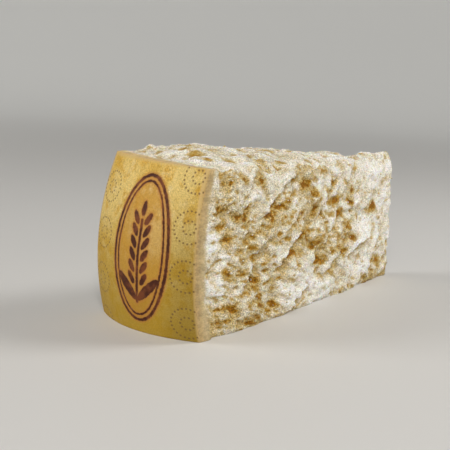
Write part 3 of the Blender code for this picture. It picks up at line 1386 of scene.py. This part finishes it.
@dataclass(frozen=True)
class Ornament:
    """A sprig of grain in an oval, burnt into the rind, in millimetres from the rind's middle.

    Across is positive towards the near side, and up is from the base.
    """

    outer: Oval = Oval((4.5, 45.0), (18.5, 38.0))
    inner: Oval = Oval((4.5, 45.0), (15.6, 35.0))
    line: float = 1.8
    thin_line: float = 1.2
    stem_foot: float = 17.0
    stem_head: float = 60.0
    ears: int = 6
    ear_pitch: float = 6.3
    ear_radii: Place = (1.7, 3.9)
    ear_turn: float = math.radians(32.0)
    ear_offset: float = 4.2
    top_ear_rise: float = 6.0
    first_ear_rise: float = 1.0
    leaf_offset: Place = (7.2, 7.5)
    leaf_radii: Place = (2.6, 9.5)
    leaf_turn: float = math.radians(46.0)

    def leaves(self) -> list[Oval]:
        """List the filled ovals of the sprig.

        Returns:
            The top ear, each pair of ears from the head down, and the two leaves.
        """
        x = self.outer.centre[0]
        aside, rise = self.leaf_offset
        found = [Oval((x, self.stem_head + self.top_ear_rise), self.ear_radii)]
        for step in range(self.ears):
            height = self.stem_head + self.first_ear_rise - step * self.ear_pitch
            for sign in (-1.0, 1.0):
                middle = (x + sign * self.ear_offset, height)
                found.append(Oval(middle, self.ear_radii, -sign * self.ear_turn))
        for sign in (-1.0, 1.0):
            middle = (x + sign * aside, self.stem_foot + rise)
            found.append(Oval(middle, self.leaf_radii, -sign * self.leaf_turn))
        return found


@dataclass(frozen=True)
class PrickedCircles:
    """Dotted circles, one inside the other, up both edges of the rind, in millimetres."""

    feet: tuple[Place, ...] = ((33.0, 10.0), (-28.5, -2.0))
    rows: int = 4
    pitch: float = 25.0
    radii_and_dots: tuple[Place, ...] = ((8.2, 24.0), (3.4, 10.0))

    def circles(self) -> list[tuple[Place, float, float]]:
        """The middle, the radius and the number of dots of each circle."""
        middles = [(x, foot + self.pitch * row) for row in range(self.rows) for x, foot in self.feet]
        return [(middle, radius, dots) for middle in middles for radius, dots in self.radii_and_dots]


@dataclass(frozen=True)
class RindMaterial:
    """The material of the rind, with its ornament and its pricked dots."""

    finish: RindFinish
    ornament: Ornament
    pricked: PrickedCircles
    groups: Groups

    def oval(self, graph: Graph, place: Socket, oval: Oval) -> bpy.types.Node:
        """One oval line."""
        sizes = {"Centre": (*oval.centre, 0.0), "Turn": -oval.turn, "Radii": (*oval.radii, NO_LIMIT)}
        return graph.group(self.groups["oval"], {"Place": place, **sizes})

    def stroke(self, graph: Graph, distance: Socket, width: float) -> Socket:
        """Distance from the edge of a line of a given width, 0 and less inside it."""
        return graph.maths("SUBTRACT", distance, 0.5 * width)

    def burnt_distance(self, graph: Graph, place: Socket) -> tuple[Socket, Socket]:
        """Measure how close a place is to the burnt ornament.

        Args:
            graph: The material's nodes.
            place: The place on the rind.

        Returns:
            Distance from the nearest burnt line, and signed distance from the outer oval.
        """
        sprig = self.ornament
        x = sprig.outer.centre[0]
        outer = self.oval(graph, place, sprig.outer)
        inner = self.oval(graph, place, sprig.inner)
        ends = {"From": (x, sprig.stem_foot, 0.0), "To": (x, sprig.stem_head, 0.0)}
        stem = graph.group(self.groups["bar"], {"Place": place, **ends})
        strokes = [
            self.stroke(graph, outer.outputs["Distance"], sprig.line),
            self.stroke(graph, inner.outputs["Distance"], sprig.thin_line),
            self.stroke(graph, stem.outputs["Distance"], sprig.line),
        ]
        for leaf in sprig.leaves():
            strokes.append(self.oval(graph, place, leaf).outputs["Signed"])
        return graph.least(strokes), outer.outputs["Signed"]

    def pricked_distance(self, graph: Graph, place: Socket) -> Socket:
        """Measure how close a place is to the pricked dots.

        Args:
            graph: The material's nodes.
            place: The place on the rind.

        Returns:
            Distance from the nearest dot.
        """
        distances = []
        for centre, radius, dots in self.pricked.circles():
            inputs = {"Place": place, "Centre": (*centre, 0.0), "Radius": radius, "Dots": dots}
            distances.append(graph.group(self.groups["dotted"], inputs).outputs["Distance"])
        return graph.least(distances)

    def skin(self, graph: Graph, sources: dict[str, Socket]) -> Socket:
        """Colour the rind, before its marks.

        Args:
            graph: The material's nodes.
            sources: The place across and up the rind, the patches and the grain, by name.

        Returns:
            The colour.
        """
        finish = self.finish
        across, up = sources["across"], sources["up"]
        colour = graph.cover(finish.body, sources["wide"], finish.to_pale, finish.pale)
        colour = graph.cover(colour, sources["mottle"], finish.to_warm, finish.warm)
        colour = graph.cover(colour, sources["freckles"], finish.to_cream, finish.cream)
        colour = graph.cover(colour, sources["patches"], finish.to_dark, finish.dark)
        colour = graph.tint(colour, sources["speckle"], finish.speckle)
        colour = graph.cover(colour, up, finish.to_deep, finish.deep)
        # Painted shade: darker towards the foot and across, and darker still in a strip near the near edge,
        # low down.
        colour = graph.tint(colour, up, finish.up_painted_shade)
        colour = graph.tint(colour, across, finish.across_painted_shade)
        colour = graph.tint(colour, sources["grit"], finish.grit)
        painted_edge_shade = graph.ramp(up, finish.edge_shade_up), graph.ramp(across, finish.edge_shade_across)
        colour = graph.shade(colour, graph.maths("SUBTRACT", 1.0, graph.maths("MULTIPLY", *painted_edge_shade)))
        # The worn rim: lighter partly from wear and partly as a painted highlight along the edges.
        lean = graph.ramp(up, finish.wear_and_highlight_lean)
        sides = graph.ramp(graph.maths("ADD", graph.maths("ABSOLUTE", across), lean), finish.wear_and_highlight_sides)
        worn = graph.maths("MAXIMUM", sides, graph.ramp(up, finish.wear_and_highlight_head))
        return graph.mix(graph.maths("MULTIPLY", worn, finish.wear_and_highlight_share), colour, finish.worn)

    def make(self) -> bpy.types.Material:
        """Build the material.

        Returns:
            The material, for the rind's polygons.
        """
        finish = self.finish
        material = bpy.data.materials.new("rind")
        material.use_nodes = True
        graph = Graph(material.node_tree)
        shader = material.node_tree.nodes["Principled BSDF"].inputs
        space = graph.add("TexCoord").outputs["Object"]
        place = graph.attribute("rind_place").outputs["Vector"]
        grain = graph.group(self.groups["grain"], {"Place": space, "Size": finish.grain})
        sources = {layer.lower(): grain.outputs[layer] for layer in GRAIN_LAYERS}
        sources["wide"] = graph.noise(space, finish.wide)
        sources["mottle"] = graph.noise(space, finish.mottle)
        sources["freckles"] = graph.noise(space, finish.freckles)
        sources["patches"] = graph.noise(space, finish.patches)
        sources["across"], sources["up"], _ = graph.add("SeparateXYZ", {0: place}).outputs
        colour = self.skin(graph, sources)
        pricks = self.pricked_distance(graph, place)
        colour = graph.cover(colour, pricks, finish.prick_stain, finish.pricked)
        burn, inside = self.burnt_distance(graph, place)
        burn = graph.maths("ADD", burn, graph.sway(0.0, sources, finish.burn_rags))
        colour = graph.cover(colour, inside, finish.oval_scorch, finish.scorched)
        colour = graph.cover(colour, burn, finish.line_scorch, finish.scorched)
        char = graph.cover(finish.burnt, sources["mottle"], finish.to_singed, finish.singed)
        colour = graph.cover(colour, burn, finish.to_char, char)
        graph.feed(shader["Base Color"], colour)
        graph.feed(shader["Roughness"], graph.ramp(sources["clump"], finish.roughness))
        height = graph.maths("ADD", grain.outputs["Height"], graph.ramp(burn, finish.burn_groove))
        height = graph.maths("ADD", height, graph.ramp(pricks, finish.prick_groove))
        relief = {"Height": height, "Distance": finish.bump, "Strength": finish.bump_strength}
        graph.feed(shader["Normal"], graph.add("Bump", relief).outputs["Normal"])
        shader["Specular IOR Level"].default_value = finish.specular
        return material


@dataclass(frozen=True)
class FleshMaterial:
    """The material of the broken cheese, with the rind's cut edge beside the rind."""

    finish: FleshFinish
    thickness: float
    groups: Groups

    def crumb(self, graph: Graph, sources: dict[str, Socket]) -> tuple[Socket, Socket]:
        """Colour the broken cheese.

        Args:
            graph: The material's nodes.
            sources: The masks and the layers of the grain, by name.

        Returns:
            The colour, and how stained with gold it is.
        """
        finish = self.finish
        # Painted light and shade: by the proud mask, crests come out paler and recesses more golden; the
        # golden mask also holds painted shadow behind scarps.
        tone = graph.sway(finish.tone, sources, finish.tone_shares)
        colour = graph.cover(finish.tan, tone, finish.to_cream, finish.cream)
        colour = graph.cover(colour, tone, finish.to_white, finish.white)
        colour = graph.cover(colour, tone, finish.to_chalk, finish.chalk)
        flecks = graph.sway(0.0, sources, finish.fleck_shares)
        calm = graph.maths("MULTIPLY_ADD", sources["white"], *finish.fleck_calm)
        stain = graph.maths("ADD", sources["golden"], graph.maths("MULTIPLY", flecks, calm))
        colour = graph.cover(colour, stain, finish.to_tan, finish.tan)
        colour = graph.cover(colour, stain, finish.to_gold, finish.gold)
        colour = graph.cover(colour, stain, finish.to_amber, finish.amber)
        grit = graph.ramp(sources["grit"], finish.grit)
        calm = graph.maths("MULTIPLY_ADD", sources["white"], *finish.grit_calm)
        return graph.shade(colour, graph.maths("MULTIPLY_ADD", grit, calm, 1.0)), stain

    def cut_edge(self, graph: Graph, sources: dict[str, Socket]) -> tuple[Socket, Socket]:
        """Colour the rind's cut edge.

        Args:
            graph: The material's nodes.
            sources: The masks and the layers of the grain, by name.

        Returns:
            The colour, and a mask that is 1 on the cut edge.
        """
        finish = self.finish
        depth, up = sources["depth"], sources["up"]
        ragged = graph.maths("ADD", depth, graph.sway(0.0, sources, finish.band_rags))
        ragged = graph.maths("MULTIPLY", ragged, graph.ramp(up, finish.band_up))
        first, last = (share * self.thickness for share in finish.band_end)
        band = graph.ramp(ragged, Span(first, last, 1.0, 0.0))
        colour = graph.cover(finish.cut_skin, depth, Span(0.0, finish.skin_depth), finish.cut_rind)
        colour = graph.cover(colour, depth, Span(finish.inner_start, self.thickness), finish.cut_inner)
        colour = graph.tint(colour, sources["clump"], finish.band_clumps)
        colour = graph.tint(colour, sources["speckle"], finish.band_speckle)
        # Painted light: the head of the cut edge, by the top, is lighter.
        return graph.tint(colour, up, finish.band_head_painted_light), band

    def make(self, name: str) -> bpy.types.Material:
        """Build the material.

        Args:
            name: The material's name.

        Returns:
            The material, for the broken faces, the base and the loose grains.
        """
        finish = self.finish
        material = bpy.data.materials.new(name)
        material.use_nodes = True
        graph = Graph(material.node_tree)
        shader = material.node_tree.nodes["Principled BSDF"].inputs
        space = graph.add("TexCoord").outputs["Object"]
        drawn = graph.vector("MULTIPLY", space, finish.stretch).outputs[0]
        grain = graph.group(self.groups["grain"], {"Place": drawn, "Size": finish.grain})
        sources = {layer.lower(): grain.outputs[layer] for layer in GRAIN_LAYERS}
        for mask in ("golden", "white", "proud"):
            sources[mask] = graph.attribute(mask).outputs["Fac"]
        sources["depth"] = graph.attribute("from_rind").outputs["Fac"]
        place = graph.attribute("rind_place").outputs["Vector"]
        sources["up"] = graph.add("SeparateXYZ", {0: place}).outputs[1]
        colour, stain = self.crumb(graph, sources)
        edge, band = self.cut_edge(graph, sources)
        graph.feed(shader["Base Color"], graph.mix(band, colour, edge))
        graph.feed(shader["Roughness"], graph.ramp(stain, finish.roughness))
        height = graph.maths("MULTIPLY", grain.outputs["Height"], graph.ramp(band, finish.relief))
        relief = {"Height": height, "Distance": finish.bump, "Strength": finish.bump_strength}
        graph.feed(shader["Normal"], graph.add("Bump", relief).outputs["Normal"])
        shader["Specular IOR Level"].default_value = finish.specular
        shader["Subsurface Weight"].default_value = finish.scatter
        shader["Subsurface Radius"].default_value = finish.scatter_radius
        shader["Subsurface Scale"].default_value = finish.scatter_scale
        return material


# --- Pieces ----------------------------------------------------------------------------------
@dataclass
class CheeseBody:
    """The whole wedge as one closed mesh.

    Each face is a grid of one lattice over u, v and s, and the key steps number the lattice so
    that faces share the points where they meet. A map place is the left and lower edge, the
    width and the height of a face's rectangle.
    """

    form: WedgeForm
    cells: tuple[int, int, int] = (60, 138, 220)
    key_steps: tuple[int, int, int] = (1, 1000, 1000000)
    smooth_white: float = 0.4
    smooth_proud: float = 0.5
    map_places: dict[str, tuple[float, float, float, float]] = field(default_factory=lambda: {
        "NEAR": (0.01, 0.01, 0.733, 0.30), "FAR": (0.01, 0.32, 0.733, 0.30), "TOP": (0.01, 0.63, 0.733, 0.24),
        "BASE": (0.01, 0.88, 0.733, 0.11), "RIND": (0.75, 0.01, 0.24, 0.31), "TIP": (0.75, 0.33, 0.05, 0.30),
    })

    def coordinates(self, face: Face) -> tuple[Array, Array]:
        """Find the lattice points of a face.

        Args:
            face: Which face.

        Returns:
            The lattice numbers of its points, in rows and columns, and the same as u, v and s
            from 0 to 1.
        """
        fixed, value = face.value
        ranges = [
            np.array([round(value * count)]) if name == fixed else np.arange(count + 1)
            for name, count in zip("uvs", self.cells)
        ]
        numbers = np.stack(np.meshgrid(*ranges, indexing="ij"), -1)
        numbers = numbers.reshape([n for n in numbers.shape[:3] if n > 1] + [3])
        return numbers, numbers / np.array(self.cells)

    def survey(self, face: Face, u: Array, v: Array, s: Array) -> list[Array]:
        """Look over a face.

        Args:
            face: Which face.
            u: Across, from the far side to the near side, 0 to 1.
            v: From the base to the top, 0 to 1.
            s: From the rind to the tip, 0 to 1.

        Returns:
            Its golden, white and proud masks.
        """
        if face in (Face.NEAR, Face.FAR):
            side = self.form.near if face is Face.NEAR else self.form.far
            found = self.form.side_survey(side, s, v, True)
        elif face is Face.TOP:
            found = self.form.top_survey(u, s, True)
        elif face is Face.TIP:
            found = self.form.tip_survey(u, v, s, True)
        else:
            return [np.full_like(u, level) for level in (0.0, self.smooth_white, self.smooth_proud)]
        return [found.golden, found.white, found.proud]

    def unfold(self, face: Face, u: Array, v: Array, s: Array) -> Array:
        """Lay a face out on the map, in its own rectangle.

        Args:
            face: Which face.
            u: Across, from the far side to the near side, 0 to 1.
            v: From the base to the top, 0 to 1.
            s: From the rind to the tip, 0 to 1.

        Returns:
            Both map coordinates of each point, on the last axis.
        """
        across, upward = {"u": (s, v), "v": (s, u), "s": (u, v)}[face.value[0]]
        left, low, wide, tall = self.map_places[face.name]
        return np.stack([left + across * wide, low + upward * tall], -1)

    def corners(self, face: Face, grid: Array) -> list[list[int]]:
        """Make the polygons over a face.

        Args:
            face: Which face.
            grid: The numbers of its points, in rows and columns.

        Returns:
            The corners of each polygon, in an order that turns it outwards. The base is one
            polygon.
        """
        if face is Face.BASE:
            ring = np.concatenate([grid[:, 0], grid[-1, 1:], grid[-2::-1, -1], grid[0, -2:0:-1]])
            return [ring[::-1].tolist()]
        a, b, c, d = grid[:-1, :-1], grid[1:, :-1], grid[1:, 1:], grid[:-1, 1:]
        order = [a, d, c, b] if face in (Face.NEAR, Face.TIP) else [a, b, c, d]
        return np.stack(order, -1).reshape(-1, 4).tolist()

    def build(self, offset: Vector) -> bpy.types.Object:
        """Make the mesh, its masks and its map.

        Args:
            offset: How far the form moves to stand where the solid is.

        Returns:
            The wedge, its rind in the second material slot.
        """
        keys, points, masks, places, polygons, materials, start = [], [], [], [], [], [], 0
        for face in Face:
            numbers, share = self.coordinates(face)
            u, v, s = share[..., 0], share[..., 1], share[..., 2]
            skin = self.form.points(u, v, s, True)
            across = (u - 0.5) * self.form.rind_width
            found = self.survey(face, u, v, s) + [self.form.from_rind(s)]
            found += [across * MILLIMETRES, skin[..., 2] * MILLIMETRES]
            masks.append(np.stack(found, -1).reshape(-1, len(found)))
            points.append(skin.reshape(-1, 3))
            places.append(self.unfold(face, u, v, s).reshape(-1, 2))
            keys.append((numbers * np.array(self.key_steps)).sum(-1).ravel())
            made = self.corners(face, start + np.arange(u.size).reshape(u.shape))
            polygons += made
            materials += [1 if face is Face.RIND else 0] * len(made)
            start += u.size
        _, first, where = np.unique(np.concatenate(keys), return_index=True, return_inverse=True)
        mesh = bpy.data.meshes.new("cheese_body")
        vertices = np.concatenate(points)[first] + np.array(offset)
        mesh.from_pydata(vertices.tolist(), [], [where[polygon].tolist() for polygon in polygons])
        mesh.polygons.foreach_set("material_index", materials)
        mesh.polygons.foreach_set("use_smooth", [len(polygon) == 4 for polygon in polygons])
        around = np.concatenate([np.array(polygon) for polygon in polygons])
        layer = mesh.uv_layers.new(name="OFBake")
        layer.uv.foreach_set("vector", np.concatenate(places)[around].astype(np.float32).ravel())
        self.write_masks(mesh, np.concatenate(masks)[around])
        mesh.update()
        body = bpy.data.objects.new("cheese_body", mesh)
        bpy.context.scene.collection.objects.link(body)
        return body

    def write_masks(self, mesh: bpy.types.Mesh, masks: Array) -> None:
        """Store the masks as attributes of the corners of the mesh's polygons.

        Args:
            mesh: The wedge's mesh.
            masks: A row for each corner: golden, white, proud, distance from the rind, and the
                place across and up the rind in millimetres.
        """
        for column, name in enumerate(("golden", "white", "proud", "from_rind")):
            values = mesh.attributes.new(name, "FLOAT", "CORNER")
            values.data.foreach_set("value", masks[:, column].astype(np.float32))
        place = mesh.attributes.new("rind_place", "FLOAT_VECTOR", "CORNER")
        flat = np.zeros((len(masks), 3), np.float32)
        flat[:, :2] = masks[:, 4:6]
        place.data.foreach_set("vector", flat.ravel())


@dataclass
class Grains:
    """Loose grains of crushed cheese that cling to the broken faces.

    Each is a pebble of its own size, knocked and stretched out of round, partly sunk in the
    face. They stay clear of the rind and of the floor, and are coloured as if deep in the
    cheese.
    """

    count: int = 1200
    radius: Place = (0.00025, 0.00075)
    sizes: Place = (0.5, 1.0)
    knocks: Place = (0.65, 1.25)
    stretches: Place = (0.7, 1.4)
    tones: Place = (0.3, 0.9)
    sunk: float = 0.35
    clear_of_rind: float = 0.024
    clear_of_floor: float = 0.001
    depth: float = 0.05
    seed: int = 91

    def build(self, body: bpy.types.Object) -> bpy.types.Object:
        """Scatter the grains over the broken faces.

        Args:
            body: The wedge.

        Returns:
            All the grains as one mesh.
        """
        draw = np.random.default_rng(self.seed)
        vertices = body.data.vertices
        places, normals = np.empty(len(vertices) * 3, np.float32), np.empty(len(vertices) * 3, np.float32)
        vertices.foreach_get("co", places)
        vertices.foreach_get("normal", normals)
        places, normals = places.reshape(-1, 3), normals.reshape(-1, 3)
        inland = places[:, 0] - places[:, 0].min()
        broken = np.flatnonzero((inland > self.clear_of_rind) & (places[:, 2] > self.clear_of_floor))
        chosen = draw.choice(broken, self.count, replace=False)
        shape, triangles = self.pebble()
        radius = draw.uniform(*self.radius, self.count) * draw.uniform(*self.sizes, self.count)
        knocks = draw.uniform(*self.knocks, (self.count, len(shape), 1))
        stretch = draw.uniform(*self.stretches, (self.count, 1, 3))
        local = shape[None] * knocks * stretch * radius[:, None, None]
        centre = places[chosen] + normals[chosen] * ((1.0 - 2.0 * self.sunk) * radius)[:, None]
        points = (centre[:, None] + local).reshape(-1, 3)
        faces = (triangles[None] + len(shape) * np.arange(self.count)[:, None, None]).reshape(-1, 3)
        mesh = bpy.data.meshes.new("cheese_grains")
        mesh.from_pydata(points.tolist(), [], faces.tolist())
        tone = np.repeat(draw.uniform(*self.tones, self.count), len(shape)).astype(np.float32)
        masks = {
            "golden": np.zeros_like(tone),
            "white": tone,
            "proud": tone,
            "from_rind": np.full_like(tone, self.depth),
        }
        for name, values in masks.items():
            mesh.attributes.new(name, "FLOAT", "POINT").data.foreach_set("value", values)
        grains = bpy.data.objects.new("cheese_grains", mesh)
        bpy.context.scene.collection.objects.link(grains)
        return grains

    def pebble(self) -> tuple[Array, Array]:
        """Make a twenty-sided pebble of radius 1, from the corners that lie a side apart.

        Returns:
            Its corners, and the three corners of each triangle.
        """
        golden = (1.0 + math.sqrt(5.0)) / 2.0
        corners = []
        for a in (-1.0, 1.0):
            for b in (-golden, golden):
                corners += [(0.0, a, b), (a, b, 0.0), (b, 0.0, a)]
        corners = np.array(corners) / math.hypot(1.0, golden)
        side = 2.0 / math.hypot(1.0, golden)
        triangles = []
        for i, j, k in itertools.combinations(range(len(corners)), 3):
            edges = [math.dist(corners[p], corners[q]) for p, q in ((i, j), (j, k), (k, i))]
            if np.allclose(edges, side):
                out = np.dot(np.cross(corners[j] - corners[i], corners[k] - corners[i]), corners[i])
                triangles.append((i, j, k) if out > 0 else (i, k, j))
        return corners, np.array(triangles)


# --- Studio ----------------------------------------------------------------------------------
@dataclass(frozen=True)
class Lamp:
    """A soft square lamp that faces the wedge, its angles in degrees."""

    name: str
    azimuth: float
    elevation: float
    distance: float
    size: float
    power: float
    colour: Colour = (1.0, 0.98, 0.95)

    def build(self, target: Vector) -> None:
        """Place the lamp.

        Args:
            target: The point that it faces.
        """
        azimuth, elevation = math.radians(self.azimuth), math.radians(self.elevation)
        flat = math.cos(elevation)
        away = Vector((math.sin(azimuth) * flat, -math.cos(azimuth) * flat, math.sin(elevation)))
        data = bpy.data.lights.new(self.name, "AREA")
        data.shape = "SQUARE"
        data.size = self.size
        data.energy = self.power
        data.color = self.colour
        made = bpy.data.objects.new(self.name, data)
        made.location = target + away * self.distance
        made.rotation_euler = away.to_track_quat("Z", "Y").to_euler()
        bpy.context.scene.collection.objects.link(made)


@dataclass(frozen=True)
class Studio:
    """A pale floor, soft light and the camera at the photograph's angle."""

    camera_place: Triple = (-0.3349, -0.3531, 0.1416)
    camera_yaw: float = math.radians(42.07)
    camera_pitch: float = math.radians(-9.84)
    camera_roll: float = math.radians(3.12)
    camera_clear: float = 0.01
    focal_pixels: float = 933.7
    picture_pixels: float = 450.0
    sensor: float = 36.0
    world_colour: Colour = (0.95, 0.96, 1.0)
    world_strength: float = 0.02
    lamp_target: Triple = (0.0, 0.0, 0.045)
    lamps: tuple[Lamp, ...] = (
        Lamp("key", azimuth=-125.0, elevation=30.0, distance=2.0, size=0.80, power=14.3),
        Lamp("left", azimuth=-50.0, elevation=35.0, distance=2.0, size=0.60, power=20.2),
        Lamp("right", azimuth=50.0, elevation=43.0, distance=1.2, size=0.40, power=6.5),
    )

    # The floor, its bend up into a wall all round, and the wall's faint glow.
    floor_colour: Colour = (0.70, 0.69, 0.67)
    floor_roughness: float = 0.6
    floor_radius: float = 1.7
    bend_radius: float = 1.5
    bend_steps: int = 12
    round_steps: int = 72
    floor_glow: Colour = (0.0, 0.0, 0.0)
    wall_glow: Colour = (0.24, 0.24, 0.23)
    glow_reach: Span = Span(0.5, 2.3)

    def build_camera(self, offset: Vector) -> None:
        """Place the camera as in the photograph.

        Args:
            offset: How far the wedge moved to stand where the solid is.
        """
        data = bpy.data.cameras.new("camera")
        data.sensor_width = self.sensor
        data.lens = self.sensor * self.focal_pixels / self.picture_pixels
        data.clip_start = self.camera_clear
        camera = bpy.data.objects.new("camera", data)
        yaw, pitch = self.camera_yaw, self.camera_pitch
        forward = Vector((math.cos(yaw) * math.cos(pitch), math.sin(yaw) * math.cos(pitch), math.sin(pitch)))
        level = Vector((math.sin(yaw), -math.cos(yaw), 0.0))
        upright = level.cross(forward)
        right = level * math.cos(self.camera_roll) + upright * math.sin(self.camera_roll)
        up = upright * math.cos(self.camera_roll) - level * math.sin(self.camera_roll)
        turn = Matrix((right, up, -forward)).transposed().to_4x4()
        camera.matrix_world = Matrix.Translation(Vector(self.camera_place) + offset) @ turn
        bpy.context.scene.collection.objects.link(camera)
        bpy.context.scene.camera = camera

    def build_light(self) -> None:
        """Add the soft lamps and the even light of the room."""
        for lamp in self.lamps:
            lamp.build(Vector(self.lamp_target))
        world = bpy.data.worlds.new("room")
        world.use_nodes = True
        background = world.node_tree.nodes["Background"].inputs
        background["Color"].default_value = (*self.world_colour, 1.0)
        background["Strength"].default_value = self.world_strength
        bpy.context.scene.world = world

    def floor_mesh(self) -> bpy.types.Mesh:
        """Make the floor, a round sheet that bends up into a wall.

        Returns:
            The floor's mesh.
        """
        bends = np.linspace(0.0, 0.5 * math.pi, self.bend_steps)
        reach = self.floor_radius + self.bend_radius * np.sin(bends)
        rise = self.bend_radius * (1.0 - np.cos(bends))
        turns = np.linspace(0.0, 2.0 * math.pi, self.round_steps, endpoint=False)
        ring = np.stack([np.cos(turns), np.sin(turns)], -1)
        points = [(*(r * ring[k]), h) for r, h in zip(reach, rise) for k in range(self.round_steps)]
        faces = [list(range(self.round_steps))]
        for level in range(self.bend_steps - 1):
            low, high = level * self.round_steps, (level + 1) * self.round_steps
            for k in range(self.round_steps):
                after = (k + 1) % self.round_steps
                faces.append([low + after, low + k, high + k, high + after])
        mesh = bpy.data.meshes.new("floor")
        mesh.from_pydata(points, [], faces)
        mesh.shade_smooth()
        return mesh

    def floor_material(self) -> bpy.types.Material:
        """Make the pale floor's material, which glows faintly far from the wedge.

        Returns:
            The material.
        """
        material = bpy.data.materials.new("floor")
        material.use_nodes = True
        graph = Graph(material.node_tree)
        shader = material.node_tree.nodes["Principled BSDF"].inputs
        shader["Base Color"].default_value = (*self.floor_colour, 1.0)
        shader["Roughness"].default_value = self.floor_roughness
        away = graph.vector("LENGTH", graph.add("TexCoord").outputs["Object"]).outputs["Value"]
        glow = graph.cover(self.floor_glow, away, self.glow_reach, self.wall_glow)
        graph.feed(shader["Emission Color"], glow)
        shader["Emission Strength"].default_value = 1.0
        return material

    def build_floor(self) -> None:
        """Add the floor, which isn't part of the wedge."""
        floor = bpy.data.objects.new("floor", self.floor_mesh())
        floor.data.materials.append(self.floor_material())
        bpy.context.scene.collection.objects.link(floor)


def wedge_offset(form: WedgeForm) -> Vector:
    """Find how far the form moves so that the middle of its footprint is the solid's.

    Args:
        form: Shape of the wedge.

    Returns:
        The move, level with the floor.
    """
    low, high = np.full(3, np.inf), np.full(3, -np.inf)
    for face in (Face.NEAR, Face.FAR, Face.RIND):
        _, share = CheeseBody(form).coordinates(face)
        points = form.points(share[..., 0], share[..., 1], share[..., 2], False).reshape(-1, 3)
        low, high = np.minimum(low, points.min(axis=0)), np.maximum(high, points.max(axis=0))
    solid_low, solid_high = (np.array(corner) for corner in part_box(NODE))
    shift = (solid_low + solid_high - low - high) / 2.0
    return Vector((shift[0], shift[1], 0.0))


def main() -> None:
    """Build the studio and the wedge, and log each piece."""
    logging.basicConfig(level=logging.INFO, format="%(name)s: %(message)s")
    bpy.context.scene.view_settings.view_transform = "Standard"
    form = WedgeForm()
    offset = wedge_offset(form)
    studio = Studio()
    studio.build_camera(offset)
    studio.build_light()
    studio.build_floor()
    groups = {"grain": grain_group(), "oval": ring_group(), "bar": bar_group(), "dotted": dotted_group()}
    flesh = FleshMaterial(FleshFinish(), form.rind_thickness, groups).make("flesh")
    rind = RindMaterial(RindFinish(), Ornament(), PrickedCircles(), groups).make()
    body = CheeseBody(form).build(offset)
    body.data.materials.append(flesh)
    body.data.materials.append(rind)
    grains = Grains().build(body)
    grains.data.materials.append(flesh)
    for piece in (body, grains):
        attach(piece, BODY)
        LOG.info("%s: %d vertices, %d faces", piece.name, len(piece.data.vertices), len(piece.data.polygons))
    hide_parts(NODE)


if __name__ == "__main__":
    main()
